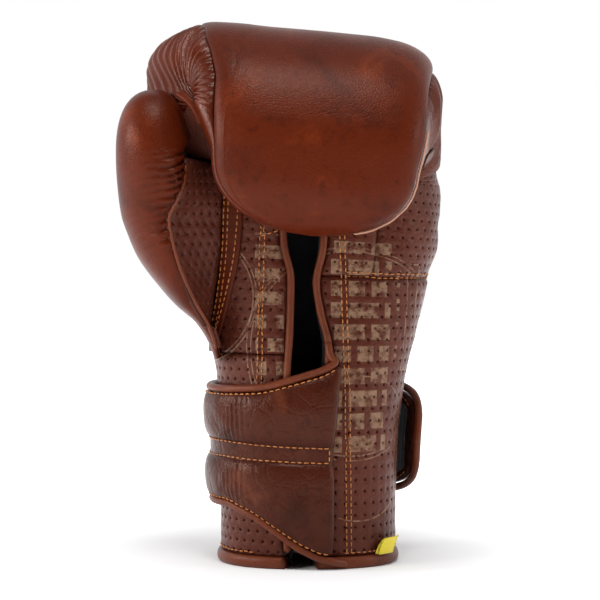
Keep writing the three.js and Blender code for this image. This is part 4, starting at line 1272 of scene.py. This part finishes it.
# ------------------------------------------------------------ the wrist strap
STRAP_HINGE, STRAP_ROOT, TAB_FOLD, TAB_TIP = 218.0, 282.0, 58.0, 2.0
strap_top = profile((STRAP_HINGE, 96), (245, 97.5), (262, 102), (275, 108), (STRAP_ROOT, 114))
strap_bottom = profile((STRAP_HINGE, 38), (238, 32.5), (255, 23), (268, 13.5), (275, 9), (STRAP_ROOT, 7.6))
channel_low = profile((STRAP_HINGE, 60.6), (STRAP_ROOT, 57.9))
channel_high = profile((STRAP_HINGE, 70.8), (STRAP_ROOT, 67.6))
tab_lift = profile((TAB_TIP, 7), (15, 5.5), (35, 2.5), (TAB_FOLD, 0))
TAB_MIDDLE, TAB_HALF = 67.0, 29.0
SPLICE = 104.0  # degrees: where the strap's two lengths are sewn together on the back


def tab_share(deg):
    return np.clip((TAB_FOLD - deg) / (TAB_FOLD - TAB_TIP), 0, 1)


def strap_edges(deg):
    deg = np.asarray(deg, float)
    half = TAB_HALF * np.maximum(0.12, dome(tab_share(deg), 2.6))
    low = np.where(deg < TAB_FOLD, TAB_MIDDLE - half, strap_bottom(deg))
    high = np.where(deg < TAB_FOLD, TAB_MIDDLE + half, strap_top(deg))
    return low, high


def strap_height(s, deg):
    """How far the strap's outer face stands off the cuff: two padded tubes with a flat channel between."""
    low, high = strap_edges(deg)
    c_low, c_high = channel_low(deg), channel_high(deg)
    upper = np.clip((s - c_high) / np.maximum(high - c_high, 1), 0, 1)
    lower = np.clip((s - low) / np.maximum(c_low - low, 1), 0, 1)
    pillow = lambda t: np.sqrt(np.clip(1 - np.abs(2 * t - 1) ** 2.4, 0, 1))
    bulge = np.where(s > c_high, pillow(upper), np.where(s < c_low, pillow(lower), 0.0))
    taper = 1 - 0.55 * smooth((TAB_FOLD - deg) / 30)
    crinkle = 0.55 * noise(deg * 0.9, s, 5.0, 91) * np.exp(-(((deg - 226) / 10) ** 2))
    crinkle = crinkle + 0.3 * np.sin(deg * 1.75 + 2.2 * noise(deg, s, 14, 92)) * np.exp(-(((deg - 228) / 9) ** 2))
    rough = 0.3 * noise(deg * 0.9, s, 9, 93) + crinkle * bulge
    return STRAP_LIFT + tab_lift(deg) + 4.2 + 3.3 * bulge * taper + rough * (0.3 + 0.7 * bulge)


def strap_piece(name, degrees, rows, nodes, blend, end_valley=0.0):
    u = np.asarray(degrees, float)[None, :]
    v = np.linspace(0, 1, rows)[:, None]
    low, high = strap_edges(u)
    s = low + (high - low) * v
    deg = np.broadcast_to(u, s.shape)
    outer = strap_height(s, deg)
    near_end = np.abs(deg - degrees[0]) * 0.85
    outer = outer + valley(near_end, end_valley, 5.0) if end_valley else outer
    inner = STRAP_LIFT + tab_lift(deg)
    edge = np.minimum(np.minimum(s - low, high - s), np.minimum(np.abs(s - channel_low(deg)),
                                                                np.abs(s - channel_high(deg))))
    seam = np.tile(np.exp(-edge.ravel() / 2.2), 2)
    piece = sandwich(name, hand_depth(s, deg, -outer), hand_depth(s, deg, -inner), strap_leather, seam=seam,
                     weld=WELD, slot="strap_leather", nodes=nodes)
    blend(piece)
    return piece


wrap_degrees = np.concatenate([np.arange(STRAP_ROOT, 236, -1.0), np.arange(236, 206, -0.5),
                               np.arange(206, SPLICE, -1.5), [SPLICE]])
strap_piece("strap_padded", wrap_degrees, 84, ("strap_root_leather", "strap_wrap_leather"), bend_strap, 3.6)
tab_degrees = np.concatenate([np.arange(SPLICE - 0.6, 20, -1.2),
                              TAB_TIP + 18 * (1 - np.sin(np.linspace(0, np.pi / 2, 26)))])
strap_piece("strap_tab_padded", tab_degrees, 84, ("tab_leather",), bend_tab, 1.6)


def strap_inner(name, degrees, inset, thick, lift, material, node_name, body, slot):
    u = np.asarray(degrees, float)[None, :]
    low, high = strap_edges(u)
    s = low + inset + (high - low - 2 * inset) * np.linspace(0, 1, 20)[:, None]
    deg = np.broadcast_to(u, s.shape)
    inner = STRAP_LIFT + tab_lift(deg) + lift
    piece = sandwich(name, hand_depth(s, deg, -inner - thick), hand_depth(s, deg, -inner), material, slot=slot,
                     nodes=(node_name,), body=body)


for part, first, last, step, thick, lift, body in (
    ("strap_root", 280, 220, -3.0, 2.6, 0.7, "hand"),
    ("strap_wrap", 216, 62, -4.0, 2.6, 0.7, "strap_wrap"),
    ("tab", 54, 8, -3.0, 2.4, 0.8, "strap_tab"),
):
    strap_inner(f"pad_{part}", np.arange(first, last, step), 2.0, thick, lift, foam, f"{part}_foam", body,
                "foam")
strap_inner("tab_hooks", np.arange(52, 12, -2.0), 5.0, 1.0, -1.0, hook_cloth, "hook_patch", "strap_tab",
            "hook_and_loop")
loop_s, loop_deg = np.meshgrid(np.linspace(44, 90, 24), np.linspace(5, 56, 36), indexing="ij")
sandwich("cuff_loops", hand_depth(loop_s, loop_deg, -0.95), hand_depth(loop_s, loop_deg, 0.3), hook_cloth,
         slot="hook_and_loop", nodes=("loop_patch",), body="hand")

PIPE_OUT = 2.6
pipe_lift = STRAP_LIFT + 3.1


def strap_rim(degrees, top):
    low, high = strap_edges(degrees)
    s = high + PIPE_OUT if top else low - PIPE_OUT
    return hand_depth(s, degrees, -(pipe_lift + tab_lift(degrees)))


corner = np.linspace(126, 117, 5)
corner_path = hand_depth(corner, palm_angle(corner, slit_right_x(corner) - 0.6), -np.linspace(0.2, 3.2, 5))
run = np.arange(STRAP_ROOT - 2, SPLICE, -2.0)
bend_strap(tube_piece("strap_piping_top", np.concatenate([corner_path, strap_rim(run, True)]), STRAP_PIPE,
                      piping_leather, wobble=0.05, seed=95, slot="piping",
                      nodes=("strap_root_piping_top", "strap_wrap_piping_top")))
run = np.arange(STRAP_ROOT, SPLICE, -2.0)
join_deg = np.array([292.0, 289.0, 286.0])
join = hand_depth(np.array([3.2, 3.4, 3.8]), join_deg, -np.array([0.4, 1.6, 2.9]))
bend_strap(tube_piece("strap_piping_bottom", np.concatenate([join, strap_rim(run, False)]), STRAP_PIPE,
                      piping_leather, wobble=0.05, seed=96, slot="piping",
                      nodes=("strap_root_piping_bottom", "strap_wrap_piping_bottom")))
run = np.arange(SPLICE - 1, TAB_FOLD, -2.0)
sweep = np.linspace(-90, 90, 61)
u = 1.07 * (0.02 + 0.98 * np.cos(np.radians(sweep)) ** 0.8)
tab_deg = TAB_FOLD + (TAB_TIP - TAB_FOLD) * u
tab_s = TAB_MIDDLE + np.sign(sweep) * (TAB_HALF + PIPE_OUT) * dome(u / 1.07, 2.6)
tip = hand_depth(tab_s, tab_deg, -(pipe_lift + tab_lift(np.maximum(tab_deg, TAB_TIP))))
path = np.concatenate([strap_rim(run, False), tip, strap_rim(run, True)[::-1]])
bend_tab(tube_piece("tab_rim_piping", path, STRAP_PIPE, piping_leather, wobble=0.04, seed=97, slot="piping",
                    nodes=("tab_piping",)))

# The welt beside the roll, with the gathers of the little finger side under it. The welt itself is real, and its
# pale colour is a painted highlight along the seam's edge.
rows = np.concatenate([np.arange(366, ROLL_START, 1.0),
                       ROLL_START + ROLL_DROP * np.sin(np.linspace(0, 1.2, 24))])
wave = 1.1 * np.sin(rows * 0.95) + 0.6 * np.sin(rows * 0.53 + 1)
tube_piece("roll_side_welt", hand_depth(rows, right_seam(rows) - 1.4 + 0.7 * wave, 0.1 - 0.3 * wave), 0.7,
           welt_painted_highlight, slot="piping", nodes=("roll_welt",), body="fingers")

# ------------------------------------------------------------ stitching
def palm_path(points, step=2.0):
    """A path on the palm through (x, s) points."""
    x, s = np.array(points, float).T
    along = np.concatenate([[0], np.cumsum(np.hypot(np.diff(x), np.diff(s)))])
    at = np.linspace(0, along[-1], int(along[-1] / step) + 2)
    xs, ss = np.interp(at, along, x), np.interp(at, along, s)
    return hand_depth(ss, palm_angle(ss, xs))


PALM = ("heel_panel", "palm_heel_panel", "little_side_panel", "palm_thumb_panel", "cuff_thumb_panel")
double_row("thread_palm_row", palm_path([(23, 8), (22, 97), (19.3, 183), (19, 200)]), PALM, "hand")
side_deg = np.linspace(float(palm_angle(168.0, 21.0)), 382, 40)
side_line = hand_depth(np.full(40, SIDE_SEAM + 1.0), side_deg)
double_row("thread_side_row", side_line, PALM, "hand")
double_row("thread_left_row", palm_path([(-26.5, 100), (-25.5, 150), (-24.5, 198)]), PALM, "hand")
stitches("thread_left_cross", palm_path([(-26, 184), (-15.5, 188)]), PALM, "hand")
band_rows = np.linspace(122, 214, 50)
band_edge = lambda x: hand_depth(band_rows, palm_angle(band_rows, x), -2.2)
for name, x in (("left_a", band_left(band_rows) + 2.0), ("left_b", band_left(band_rows) + 4.2),
                ("right", band_right(band_rows) - 1.6)):
    stitches(f"thread_band_{name}", band_edge(x), ("thumb_band",), "hand")
for name, first, last, count in (("palm", -70, 24, 60), ("back", 26, 236, 90)):
    stitches(f"thread_hem_{name}", hand_depth(np.full(count, 8.6), np.linspace(first, last, count)),
             PALM + ("outer_shell",), "hand")
back_line = np.linspace(12, 150, 60)
for name, degrees in (("right", 25.0), ("left", 155.0)):
    stitches(f"thread_back_{name}", hand_depth(back_line, np.full(60, degrees)), ("outer_shell",), "hand")

root_run = np.linspace(STRAP_ROOT - 3, SPLICE + 2, 120)
on_strap = ("strap_padded",)


def strap_row(name, s, degrees, on, blend):
    stitches(name, hand_depth(s, degrees, -6.0), on, None, blend=blend)


strap_row("thread_channel_low", channel_low(root_run) + 0.9, root_run, on_strap, bend_strap)
strap_row("thread_channel_high", channel_high(root_run) - 0.9, root_run, on_strap, bend_strap)
cross = np.linspace(59.4, 66.4, 6)
strap_row("thread_channel_end", cross, np.full(6, STRAP_ROOT - 3.0), on_strap, bend_strap)
low, high = strap_edges(root_run)
strap_row("thread_strap_top", high - 1.3, root_run, on_strap, bend_strap)
strap_row("thread_strap_bottom", low + 1.3, root_run, on_strap, bend_strap)
tab_run = np.linspace(SPLICE - 3, 12, 80)
on_tab = ("strap_tab_padded",)
low, high = strap_edges(tab_run)
strap_row("thread_tab_top", high - 1.5, tab_run, on_tab, bend_tab)
strap_row("thread_tab_bottom", low + 1.5, tab_run, on_tab, bend_tab)
splice_s = np.linspace(40, 94, 20)
strap_row("thread_splice", splice_s, np.full(20, SPLICE - 3.5), on_tab, bend_tab)

# ------------------------------------------------------------ floor, light and camera
camera = bpy.data.cameras.new("camera")
camera.lens, camera.sensor_width = 116.0, 36.0
camera_object = bpy.data.objects.new("camera", camera)
bpy.context.scene.collection.objects.link(camera_object)
camera_object.location = world([-4, -1100, 175])
aim = Vector(world([-4, 0, 147.2]))
camera_object.rotation_euler = (aim - camera_object.location).to_track_quat("-Z", "Y").to_euler()
bpy.context.scene.camera = camera_object

floor_mesh = bpy.data.meshes.new("floor")
floor_mesh.from_pydata([(-4, -4, 0), (4, -4, 0), (4, 4, 0), (-4, 4, 0)], [], [(0, 1, 2, 3)])
floor = bpy.data.objects.new("floor", floor_mesh)
bpy.context.scene.collection.objects.link(floor)
floor_material, tree, shader, where = start_material("pale_floor")
shader.inputs["Base Color"].default_value = (0.93, 0.93, 0.935, 1)
shader.inputs["Roughness"].default_value = 0.7
shader.inputs["Specular IOR Level"].default_value = 0.1
# The floor glows to read white, but the glow fades to nothing within 5 cm of the middle and is full only from 35
# cm out: a painted shadow round the glove's foot.
reach = node(tree, "ShaderNodeVectorMath")
reach.operation = "LENGTH"
tree.links.new(where, reach.inputs[0])
tree.links.new(mix_colour(tree, ramp(tree, reach.outputs["Value"], 0.05, 0.35), (0.0, 0.0, 0.0), (1.0, 1.0, 1.0)),
               shader.inputs["Emission Color"])
shader.inputs["Emission Strength"].default_value = 0.9
floor_mesh.materials.append(floor_material)

studio = bpy.data.worlds.new("studio")
studio.use_nodes = True
tree = studio.node_tree
background = next(n for n in tree.nodes if n.type == "BACKGROUND")
direction = node(tree, "ShaderNodeTexCoord").outputs["Generated"]
parts = node(tree, "ShaderNodeSeparateXYZ")
tree.links.new(direction, parts.inputs[0])
sides = mix_colour(tree, ramp(tree, parts.outputs["Y"], -0.5, -0.05), (0.05, 0.05, 0.052), (1.0, 1.0, 1.0))
tree.links.new(mix_colour(tree, ramp(tree, parts.outputs["Z"], 0.45, 0.95), sides, (0.5, 0.5, 0.5)),
               background.inputs["Color"])
background.inputs["Strength"].default_value = 1.0
bpy.context.scene.world = studio


def area_light(name, place, at, size, power_watts, colour=(1, 1, 1)):
    data = bpy.data.lights.new(name, "AREA")
    data.shape, data.size, data.energy, data.color = "SQUARE", size, power_watts, colour
    light = bpy.data.objects.new(name, data)
    bpy.context.scene.collection.objects.link(light)
    light.location = place
    light.rotation_euler = (Vector(at) - light.location).to_track_quat("-Z", "Y").to_euler()


area_light("top_softbox", (0.0, -0.55, 1.25), (0, 0, 0.2), 0.45, 8)
area_light("left_softbox", (-0.95, -0.6, 0.45), (0, 0, 0.17), 0.3, 4)
area_light("left_strip", (-0.9, -0.14, 0.42), (0, 0, 0.2), 0.2, 3)
area_light("right_softbox", (1.0, -0.35, 0.45), (0, 0, 0.15), 0.3, 2.5)
bpy.context.scene.view_settings.view_transform = "Standard"
